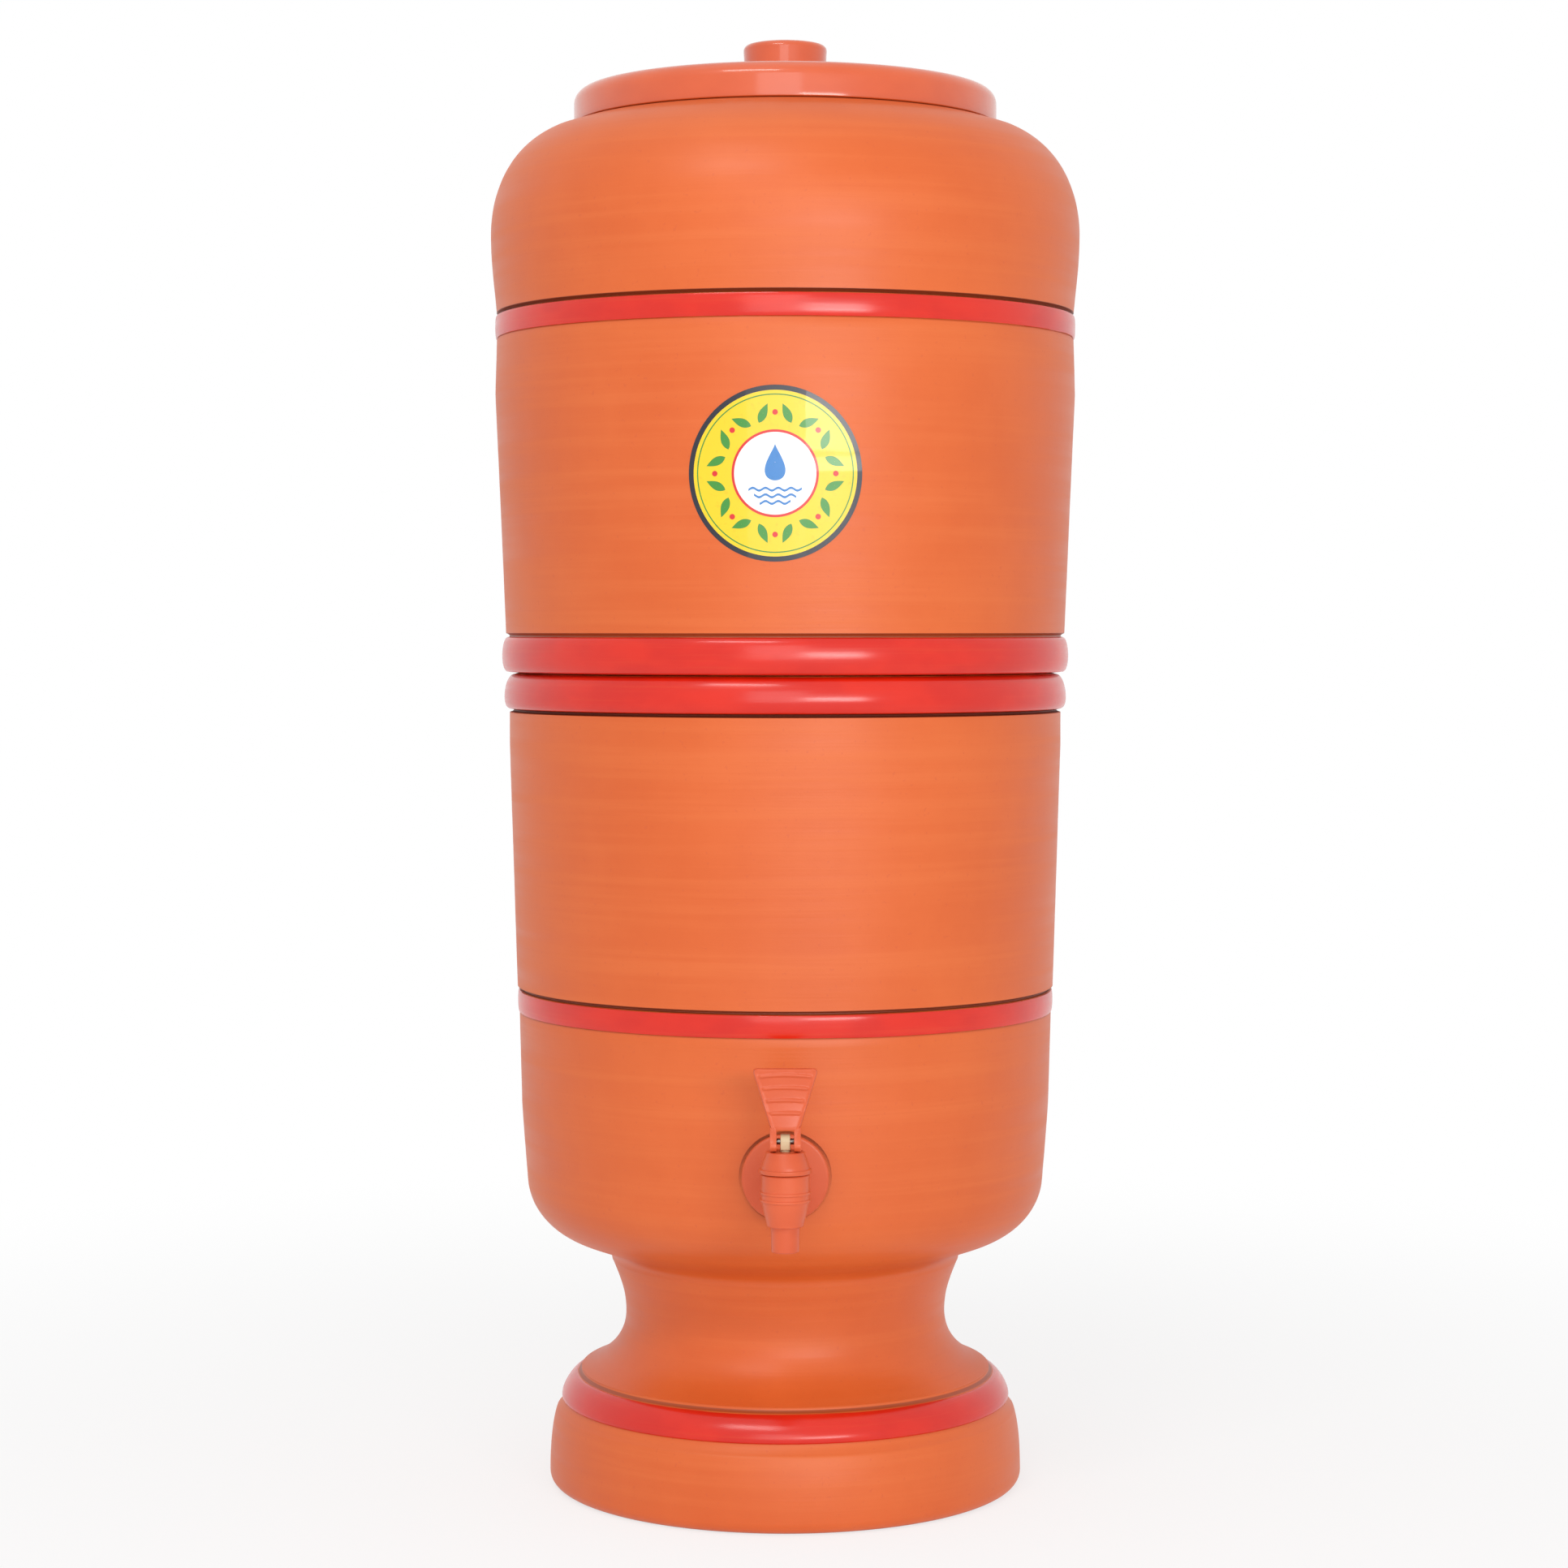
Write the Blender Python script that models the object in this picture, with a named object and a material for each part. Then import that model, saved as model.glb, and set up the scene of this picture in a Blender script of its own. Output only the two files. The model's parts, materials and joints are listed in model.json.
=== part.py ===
# Two-chamber clay water filter: a footed lower reservoir with a tap, an upper
# reservoir nested on it with a ceramic candle and a float valve, and a moulded lid.
# Metres, +Z up. The tap faces -Y. The origin is under the middle of the whole
# object's box, so the turned axis stands a little behind it.

import math

import bmesh
import bpy

# Clearances
SEAT_GAP = 0.0003          # between two pieces that rest on each other
RUNNING_GAP = 0.00035      # around a stem or a pin that moves in its hole
BUILD_GAP = 0.0010         # around a fixed part in a hole made by hand

# Clay walls
CLAY_WALL = 0.0095
LOWER_FLOOR = 0.0117
UPPER_FLOOR = 0.0110
RIM_CORNER = 0.0010

# Pedestal, from the floor up
FOOT_RADIUS = 0.1014
FOOT_TOP_RADIUS = 0.0990
FOOT_HEIGHT = 0.0315
FOOT_EDGE = 0.0050
FOOT_RING_WIDTH = 0.0150
FOOT_LEDGE_WIDTH = 0.0037   # the bare slope between the plinth's edge and the bead
FOOT_LEDGE_HEIGHT = 0.0047
FOOT_BEAD_HEIGHT = 0.0108
FOOT_BEAD_TOP_RADIUS = 0.0895
FOOT_BEAD_BULGE = 0.0021
FOOT_GROOVE_RADIUS = 0.0884
FOOT_GROOVE_WIDTH = 0.0024
SCOTIA_START_RADIUS = 0.0878
SCOTIA_HEIGHT = 0.0241
SCOTIA_SWEEP = 0.36        # how flat the hollow starts over the bead
WAIST_RADIUS = 0.0686
NECK_HEIGHT = 0.0225
NECK_FLARE = 0.40          # how far the neck leans out at its top
NECK_HOLLOW = 0.38
NECK_TOP_RADIUS = 0.0743

# Lower reservoir, from the pedestal up
BOWL_BASE_RADIUS = 0.0748
BOWL_TURN_RADIUS = 0.0920
BOWL_TURN_HEIGHT = 0.0106
BOWL_SLOPE = 0.40          # rise over run where the underside is flattest
BOWL_RADIUS = 0.1106
BOWL_HEIGHT = 0.0347
BOWL_SHOULDER_RADIUS = 0.1130
BOWL_SHOULDER_HEIGHT = 0.0330
LOWER_BAND_RADIUS = 0.1139
BOWL_WALL_HEIGHT = 0.0395
LOWER_RIM_RADIUS = 0.1177
LOWER_WALL_RADIUS = 0.1147
LOWER_WALL_HEIGHT = 0.1168

# Raised bands and the grooves beside them
BAND_HEIGHT = 0.0092
BAND_BULGE = 0.0006
BAND_FULLNESS = 0.75       # under 1 squares the round of a band or bead
GROOVE_WIDTH = 0.0016
GROOVE_DEPTH = 0.0014
LOWER_BEAD_HEIGHT = 0.0145
UPPER_BEAD_HEIGHT = 0.0147
LOWER_BEAD_BULGE = 0.0036
UPPER_BEAD_BULGE = 0.0028
JOINT_RADIUS = 0.1152
JOINT_LIP = 0.0004
UPPER_LIP_RADIUS = 0.1181

# Upper reservoir
SPIGOT_DEPTH = 0.0088
UPPER_BASE_RADIUS = 0.1192
UPPER_WALL_RADIUS = 0.1233
UPPER_WALL_HEIGHT = 0.1010
UPPER_BAND_RADIUS = 0.1226
UPPER_WALL_TOP_HEIGHT = 0.0236
BODY_RADIUS = 0.1250
SHOULDER_RISE = 0.0334
SHOULDER_HEIGHT = 0.0422
SHOULDER_TOP_RADIUS = 0.1012
SHOULDER_SLOPE = 0.47       # drop over run near the mouth
MOUTH_SLOPE_HEIGHT = 0.0036
MOUTH_RIM_RADIUS = 0.0904
MOUTH_RADIUS = 0.0800

# Lid
LID_RADIUS = 0.0897
LID_SKIRT_HEIGHT = 0.0147
LID_EDGE = 0.0058
LID_DOME = 0.0040
LID_WALL = 0.0022
LID_RING_DEPTH = 0.0080
KNOB_RADIUS = 0.0177
KNOB_HEIGHT = 0.0158
KNOB_EDGE = 0.0024
KNOB_FILLET = 0.0020

# Filter candle
CANDLE_RADIUS = 0.0275
CANDLE_HEIGHT = 0.1000
CANDLE_WALL = 0.0080
CANDLE_DOME = 0.0170
CARBON_EDGE = 0.0030
CANDLE_BASE_RADIUS = 0.0305
CANDLE_BASE_THICKNESS = 0.0050
CANDLE_BASE_RIM = 0.0120
CANDLE_STEM_RADIUS = 0.0060
CANDLE_STEM_BORE = 0.0025
CANDLE_STEM_LENGTH = 0.0380
GASKET_RADIUS = 0.0140
GASKET_THICKNESS = 0.0030
WING_NUT_RADIUS = 0.0105
WING_NUT_HEIGHT = 0.0090
WING_SPAN = 0.0220
WING_THICKNESS = 0.0036

# Float valve
VALVE_RADIUS = 0.0100
VALVE_HEIGHT = 0.0195
VALVE_SOCKET_DEPTH = 0.0098
VALVE_FLANGE_RADIUS = 0.0130
VALVE_FLANGE_THICKNESS = 0.0030
VALVE_NOZZLE_RADIUS = 0.0036
VALVE_NOZZLE_LENGTH = 0.0040
CAGE_WALL = 0.0017
CAGE_PLATE = 0.0020
CAGE_WINDOW_WIDTH = 0.0080
CAGE_WINDOW_HEIGHT = 0.0120
FLOAT_TRAVEL = 0.0080
FLOAT_RADIUS = 0.0240
FLOAT_HEIGHT = 0.0280
FLOAT_EDGE = 0.0060
FLOAT_STEM_RADIUS = 0.0046
FLOAT_HEAD_RADIUS = 0.0080
FLOAT_HEAD_THICKNESS = 0.0027
VALVE_SEAL_RADIUS = 0.0060
VALVE_SEAL_THICKNESS = 0.0030

# Tap: place, shank and body
TAP_HEIGHT = 0.1479        # shank axis above the floor
TAP_SEAT_CUT = 0.0004      # how far the flat for the washer goes into the wall
TAP_FLANGE_RADIUS = 0.0175
TAP_FLANGE_THICKNESS = 0.0030
TAP_FLANGE_EDGE = 0.0014
TAP_WASHER_RADIUS = 0.0165
TAP_WASHER_THICKNESS = 0.0024
SHANK_RADIUS = 0.0080
SHANK_BORE = 0.0042
SHANK_END = 0.0040         # thread left past the nut
SHANK_NUT_RADIUS = 0.0138
SHANK_NUT_THICKNESS = 0.0070
TAP_NECK_RADIUS = 0.0066
TAP_NECK_LENGTH = 0.0310
BARREL_RADIUS = 0.0095
BARREL_RISE = 0.0068       # barrel top above the shank axis
BARREL_DROP = 0.0138       # step at the nozzle below the shank axis
BARREL_FOOT_RADIUS = 0.0073
BARREL_RING = 0.0005
BARREL_RING_WIDTH = 0.0012
BARREL_RING_DROP = 0.0005
BARREL_RING_PITCH = 0.0030
NOZZLE_RADIUS = 0.0057
NOZZLE_LENGTH = 0.0101
NOZZLE_BORE = 0.0036
CHAMBER_RADIUS = 0.0075
CHAMBER_FOOT_RADIUS = 0.0060
CHAMBER_STEP_DROP = 0.0050
SEAT_DROP = 0.0098         # valve seat below the shank axis

# Tap: bonnet, stem, seal, spring
BONNET_RADIUS = 0.01025
BONNET_HEIGHT = 0.0085
BONNET_RIM = 0.0018
BONNET_TOP_RADIUS = 0.0074
BONNET_EDGE = 0.0008
BONNET_PLATE = 0.0026
BONNET_PLUG_WALL = 0.0016
BONNET_PLUG_DEPTH = 0.0028
STEM_RADIUS = 0.0020
STEM_FOOT_RADIUS = 0.0030
STEM_FOOT_HEIGHT = 0.0016
STEM_COLLAR_RADIUS = 0.0052
STEM_COLLAR_HEIGHT = 0.0015
STEM_COLLAR_RISE = 0.0060  # collar above the valve seat
STEM_EYE_RADIUS = 0.0030
STEM_EYE_WIDTH = 0.0038
SEAT_CUP_RADIUS = 0.0054
SEAT_CUP_HEIGHT = 0.0040
SEAT_CUP_FLOOR = 0.0018
SPRING_RADIUS = 0.0042
SPRING_WIRE = 0.00045
SPRING_TURNS = 7

# Tap: lever
PIVOT_RISE = 0.0038        # pivot pin above the bonnet
PIN_RADIUS = 0.0012
STEM_LIFT = 0.0030
LEVER_SWING = math.radians(50.0)
FORK_HALF_WIDTH = 0.0060
FORK_SLOT_HALF = 0.0034
FORK_SLOT_RISE = 0.0049
FORK_BACK = 0.0036
PADDLE_HEIGHT = 0.0286     # paddle top above the pivot
PADDLE_NECK_RISE = 0.0060
PADDLE_NECK_HALF = 0.0062
PADDLE_TOP_HALF = 0.0131
PADDLE_NECK_THICKNESS = 0.0052
PADDLE_TOP_THICKNESS = 0.0026
PADDLE_BOW = 0.0010
PADDLE_EDGE = 0.0006
GRIP_COUNT = 4
GRIP_PITCH = 0.0049
GRIP_HEIGHT = 0.0007
GRIP_WIDTH = 0.0016
GRIP_TOP_DROP = 0.0025
GRIP_SIDE_MARGIN = 0.0026

# Facets round each kind of piece
VESSEL_FACETS = 36
FITTING_FACETS = 20
SMALL_FACETS = 16
NUT_FACETS = 24


def clear_scene():
    for obj in list(bpy.data.objects):
        bpy.data.objects.remove(obj, do_unlink=True)


# Materials


def linear(value):
    value = value / 255.0
    return value / 12.92 if value <= 0.04045 else ((value + 0.055) / 1.055) ** 2.4


def make_material(name, rgb, roughness, metallic=0.0):
    material = bpy.data.materials.new(name)
    material.use_nodes = True
    shader = material.node_tree.nodes["Principled BSDF"]
    colour = [linear(value) for value in rgb] + [1.0]
    shader.inputs["Base Color"].default_value = colour
    shader.inputs["Roughness"].default_value = roughness
    shader.inputs["Metallic"].default_value = metallic
    material.diffuse_color = colour
    return material


# Outlines, as (radius, height) points


def bezier(start, start_handle, end_handle, end, steps):
    """Points along a cubic curve, with its end and without its start."""
    points = []
    for step in range(1, steps + 1):
        t = step / steps
        weights = ((1 - t) ** 3, 3 * t * (1 - t) ** 2, 3 * t * t * (1 - t), t ** 3)
        corners = (start, start_handle, end_handle, end)
        points.append(tuple(
            sum(weight * corner[axis] for weight, corner in zip(weights, corners))
            for axis in range(2)
        ))
    return points


def pin_circle(centre, radius):
    """A small circle's points, each given once."""
    return corner(centre, radius, 0, 360 - 360 / SMALL_FACETS, SMALL_FACETS - 1)


def corner(centre, radius, start_degrees, end_degrees, steps):
    """Points along an arc, both ends included."""
    points = []
    for step in range(steps + 1):
        angle = math.radians(start_degrees + (end_degrees - start_degrees) * step / steps)
        points.append((centre[0] + radius * math.cos(angle), centre[1] + radius * math.sin(angle)))
    return points


def bulge(low, high, height, steps):
    """A rounded band between two points of a wall, both ends included."""
    points = []
    for step in range(steps + 1):
        turn = math.pi * step / steps
        share = (1 - math.cos(turn)) / 2
        swell = max(0.0, math.sin(turn)) ** BAND_FULLNESS
        radius = low[0] + (high[0] - low[0]) * share + height * swell
        points.append((radius, low[1] + (high[1] - low[1]) * share))
    return points


def groove(radius, low, width, depth):
    """A cut round the wall, from its lower edge to its upper edge."""
    return [(radius, low), (radius - depth, low + width / 2), (radius, low + width)]


def radius_at(outline, height):
    """Radius of a wall at a height, read from an outline that runs upward there."""
    for (r0, z0), (r1, z1) in zip(outline, outline[1:]):
        if z0 <= height <= z1 and z1 > z0:
            return r0 + (r1 - r0) * (height - z0) / (z1 - z0)
    return outline[-1][0]


# Solids


def add_object(name, mesh, material, parent, location=(0.0, 0.0, 0.0)):
    obj = bpy.data.objects.new(name, mesh)
    bpy.context.scene.collection.objects.link(obj)
    obj.parent = parent
    obj.location = location
    if material:
        mesh.materials.append(material)
        mesh.shade_smooth()
        mesh.set_sharp_from_angle(angle=math.radians(35.0))
    return obj


def finish_mesh(name, shape):
    bmesh.ops.remove_doubles(shape, verts=shape.verts, dist=1e-7)
    bmesh.ops.dissolve_degenerate(shape, edges=shape.edges, dist=1e-8)
    bmesh.ops.recalc_face_normals(shape, faces=shape.faces)
    mesh = bpy.data.meshes.new(name)
    shape.to_mesh(mesh)
    shape.free()
    return mesh


def spun_mesh(name, outline, facets):
    """The outline turned round +Z. It is closed, or starts and ends on the axis."""
    shape = bmesh.new()
    points = [shape.verts.new((0.0, -radius, height)) for radius, height in outline]
    edges = [shape.edges.new(pair) for pair in zip(points, points[1:])]
    if outline[0][0] > 0.0 or outline[-1][0] > 0.0:
        edges.append(shape.edges.new((points[-1], points[0])))
    bmesh.ops.spin(
        shape, geom=points + edges, cent=(0.0, 0.0, 0.0), axis=(0.0, 0.0, 1.0),
        angle=math.tau, steps=facets, use_merge=True, use_duplicate=False,
    )
    return finish_mesh(name, shape)


def turned(name, outline, material, parent, facets, location=(0.0, 0.0, 0.0)):
    return add_object(name, spun_mesh(name, outline, facets), material, parent, location)


def turned_along_y(name, outline, material, parent, facets, location=(0.0, 0.0, 0.0)):
    """A turned piece whose outline height runs along -Y, out of the vessel's front."""
    obj = turned(name, outline, material, parent, facets, location)
    obj.rotation_euler = (math.radians(90.0), 0.0, 0.0)
    return obj


def paint_bands(obj, enamel, bands):
    """Gives the faces between each pair of heights the second finish, on the outside only."""
    obj.data.materials.append(enamel)
    for face in obj.data.polygons:
        centre = face.center
        outward = centre.x * face.normal.x + centre.y * face.normal.y > 0.0
        if outward and any(low < centre.z < high for low, high in bands):
            face.material_index = 1


def extruded(name, outline, half_width, material, parent, location=(0.0, 0.0, 0.0), shift=0.0):
    """A (y, z) outline given a width along X, centred on shift."""
    shape = bmesh.new()
    face = shape.faces.new([shape.verts.new((shift - half_width, y, z)) for y, z in outline])
    result = bmesh.ops.extrude_face_region(shape, geom=[face])
    moved = [item for item in result["geom"] if isinstance(item, bmesh.types.BMVert)]
    bmesh.ops.translate(shape, verts=moved, vec=(2 * half_width, 0.0, 0.0))
    return add_object(name, finish_mesh(name, shape), material, parent, location)


def lofted_mesh(name, loops, ring):
    """Loops of equal length joined in turn: closed on themselves, or capped at both ends."""
    shape = bmesh.new()
    rows = [[shape.verts.new(point) for point in loop] for loop in loops]
    pairs = list(zip(rows, rows[1:]))
    if ring:
        pairs.append((rows[-1], rows[0]))
    for low, high in pairs:
        for index in range(len(low)):
            after = (index + 1) % len(low)
            shape.faces.new((low[index], low[after], high[after], high[index]))
    if not ring:
        shape.faces.new(rows[0][::-1])
        shape.faces.new(rows[-1])
    return finish_mesh(name, shape)


def cut(target, cutter):
    change = target.modifiers.new(cutter.name, "BOOLEAN")
    change.operation = "DIFFERENCE"
    change.object = cutter
    change.solver = "EXACT"
    hide_helper(cutter)


def join(target, extra):
    change = target.modifiers.new(extra.name, "BOOLEAN")
    change.operation = "UNION"
    change.object = extra
    change.solver = "EXACT"
    hide_helper(extra)


def hide_helper(obj):
    obj.hide_render = True
    obj.display_type = "WIRE"


def empty(name, parent, location):
    obj = bpy.data.objects.new(name, None)
    bpy.context.scene.collection.objects.link(obj)
    obj.parent = parent
    obj.location = location
    return obj


# Heights of the stacked clay pieces
FOOT_BEAD_LOW = FOOT_HEIGHT + FOOT_LEDGE_HEIGHT
FOOT_BEAD_TOP = FOOT_BEAD_LOW + FOOT_BEAD_HEIGHT
SCOTIA_LOW = FOOT_BEAD_TOP + FOOT_GROOVE_WIDTH
WAIST_LEVEL = SCOTIA_LOW + SCOTIA_HEIGHT
PEDESTAL_TOP = WAIST_LEVEL + NECK_HEIGHT
LOWER_BASE = PEDESTAL_TOP + SEAT_GAP
LOWER_BAND_LOW = LOWER_BASE + BOWL_HEIGHT + BOWL_SHOULDER_HEIGHT + BOWL_WALL_HEIGHT
LOWER_BAND_TOP = LOWER_BAND_LOW + BAND_HEIGHT
LOWER_BEAD_GROOVE = LOWER_BAND_TOP + GROOVE_WIDTH + LOWER_WALL_HEIGHT
LOWER_BEAD_LOW = LOWER_BEAD_GROOVE + GROOVE_WIDTH
LOWER_BEAD_TOP = LOWER_BEAD_LOW + LOWER_BEAD_HEIGHT
LOWER_RIM = LOWER_BEAD_TOP + JOINT_LIP
UPPER_SEAT = LOWER_RIM + SEAT_GAP
UPPER_BEAD_LOW = UPPER_SEAT + JOINT_LIP
UPPER_BEAD_TOP = UPPER_BEAD_LOW + UPPER_BEAD_HEIGHT
UPPER_WALL_LOW = UPPER_BEAD_TOP + GROOVE_WIDTH
UPPER_BAND_LOW = UPPER_WALL_LOW + UPPER_WALL_HEIGHT + UPPER_WALL_TOP_HEIGHT
UPPER_BAND_TOP = UPPER_BAND_LOW + BAND_HEIGHT
SHOULDER_LOW = UPPER_BAND_TOP + GROOVE_WIDTH + SHOULDER_RISE
SHOULDER_TOP = SHOULDER_LOW + SHOULDER_HEIGHT
MOUTH_TOP = SHOULDER_TOP + MOUTH_SLOPE_HEIGHT
UPPER_FLOOR_LOW = UPPER_SEAT - SPIGOT_DEPTH
UPPER_FLOOR_TOP = UPPER_FLOOR_LOW + UPPER_FLOOR
SPIGOT_RADIUS = LOWER_RIM_RADIUS - CLAY_WALL - BUILD_GAP
LID_LOW = MOUTH_TOP + SEAT_GAP

# Radii that follow from the walls
LOWER_INSIDE = LOWER_RIM_RADIUS - CLAY_WALL
UPPER_INSIDE = UPPER_WALL_RADIUS - CLAY_WALL


def pedestal_outline():
    bead_low = (FOOT_TOP_RADIUS - FOOT_LEDGE_WIDTH, FOOT_BEAD_LOW)
    bead_top = (FOOT_BEAD_TOP_RADIUS, FOOT_BEAD_TOP)
    foot_inside = FOOT_RADIUS - FOOT_RING_WIDTH
    scotia_low = (SCOTIA_START_RADIUS, SCOTIA_LOW)
    scotia_handle = WAIST_RADIUS + (SCOTIA_START_RADIUS - WAIST_RADIUS) * SCOTIA_SWEEP
    waist = (WAIST_RADIUS, WAIST_LEVEL)
    waist_handle = WAIST_LEVEL + NECK_HEIGHT * NECK_HOLLOW
    top = (NECK_TOP_RADIUS, PEDESTAL_TOP)
    top_handle = (
        NECK_TOP_RADIUS - NECK_HEIGHT * NECK_HOLLOW * NECK_FLARE,
        PEDESTAL_TOP - NECK_HEIGHT * NECK_HOLLOW,
    )
    inside_waist = (WAIST_RADIUS - CLAY_WALL, WAIST_LEVEL)
    outline = corner((FOOT_RADIUS - FOOT_EDGE, FOOT_EDGE), FOOT_EDGE, -90, 0, 3)
    outline += bezier(
        outline[-1], (FOOT_RADIUS, FOOT_HEIGHT * 0.7),
        (FOOT_TOP_RADIUS, FOOT_HEIGHT * 0.9), (FOOT_TOP_RADIUS, FOOT_HEIGHT), 2,
    )
    outline += bulge(bead_low, bead_top, FOOT_BEAD_BULGE, 5)
    outline += [(FOOT_GROOVE_RADIUS, SCOTIA_LOW - FOOT_GROOVE_WIDTH / 2), scotia_low]
    outline += bezier(
        scotia_low, (scotia_handle, SCOTIA_LOW + SCOTIA_HEIGHT * 0.2),
        (WAIST_RADIUS, WAIST_LEVEL - SCOTIA_HEIGHT * 0.45), waist, 4,
    )
    outline += bezier(waist, (WAIST_RADIUS, waist_handle), top_handle, top, 3)
    outline.append((NECK_TOP_RADIUS - CLAY_WALL, PEDESTAL_TOP))
    outline += bezier(
        outline[-1], (top_handle[0] - CLAY_WALL, top_handle[1]),
        (WAIST_RADIUS - CLAY_WALL, waist_handle), inside_waist, 2,
    )
    outline += bezier(
        inside_waist, (WAIST_RADIUS - CLAY_WALL, SCOTIA_LOW + SCOTIA_HEIGHT * 0.3),
        (foot_inside, SCOTIA_LOW), (foot_inside, FOOT_HEIGHT / 2), 3,
    )
    outline.append((foot_inside, 0.0))
    return outline


def lower_outside():
    """The lower reservoir's outer side, from its underside up to the joint."""
    turn = (BOWL_TURN_RADIUS, LOWER_BASE + BOWL_TURN_HEIGHT)
    base = (BOWL_BASE_RADIUS, LOWER_BASE)
    full = (BOWL_RADIUS, LOWER_BASE + BOWL_HEIGHT)
    below = BOWL_TURN_HEIGHT * 0.65
    above = BOWL_TURN_HEIGHT * 0.90
    outline = [base]
    outline += bezier(
        base, (BOWL_BASE_RADIUS, LOWER_BASE + BOWL_TURN_HEIGHT * 0.5),
        (turn[0] - below, turn[1] - below * BOWL_SLOPE), turn, 3,
    )
    outline += bezier(
        turn, (turn[0] + above, turn[1] + above * BOWL_SLOPE),
        (BOWL_RADIUS - CLAY_WALL * 0.1, full[1] - BOWL_HEIGHT * 0.34), full, 5,
    )
    outline.append((BOWL_SHOULDER_RADIUS, full[1] + BOWL_SHOULDER_HEIGHT))
    outline += bulge(
        (LOWER_BAND_RADIUS, LOWER_BAND_LOW), (LOWER_BAND_RADIUS, LOWER_BAND_TOP), BAND_BULGE, 3
    )
    outline += groove(LOWER_WALL_RADIUS, LOWER_BAND_TOP, GROOVE_WIDTH, GROOVE_DEPTH)[1:]
    outline.append((LOWER_RIM_RADIUS, LOWER_BEAD_GROOVE - LOWER_WALL_HEIGHT * 0.12))
    outline += groove(LOWER_RIM_RADIUS, LOWER_BEAD_GROOVE, GROOVE_WIDTH, GROOVE_DEPTH)
    outline[-1] = (LOWER_RIM_RADIUS - GROOVE_DEPTH / 2, LOWER_BEAD_LOW)
    outline += bulge(outline[-1], (JOINT_RADIUS, LOWER_BEAD_TOP), LOWER_BEAD_BULGE, 5)[1:]
    return outline


def lower_outline():
    inside_floor = LOWER_BASE + LOWER_FLOOR
    bowl_inside = BOWL_RADIUS - CLAY_WALL
    bowl_level = LOWER_BASE + BOWL_HEIGHT
    corner_start = (BOWL_BASE_RADIUS * 0.8, inside_floor)
    outline = [(0.0, LOWER_BASE)] + lower_outside()
    outline += [(JOINT_RADIUS, LOWER_RIM), (LOWER_INSIDE + RIM_CORNER, LOWER_RIM)]
    outline += [
        (LOWER_INSIDE, LOWER_RIM - RIM_CORNER),
        (LOWER_INSIDE, LOWER_BEAD_GROOVE - LOWER_WALL_HEIGHT * 0.12),
        (LOWER_BAND_RADIUS - CLAY_WALL, LOWER_BAND_LOW),
        (BOWL_SHOULDER_RADIUS - CLAY_WALL, bowl_level + BOWL_SHOULDER_HEIGHT),
        (bowl_inside, bowl_level + BOWL_SHOULDER_HEIGHT * 0.1),
    ]
    outline += bezier(
        outline[-1], (bowl_inside, bowl_level - BOWL_HEIGHT * 0.42),
        (BOWL_BASE_RADIUS * 1.04, inside_floor), corner_start, 3,
    )
    outline.append((0.0, inside_floor))
    return outline


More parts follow.
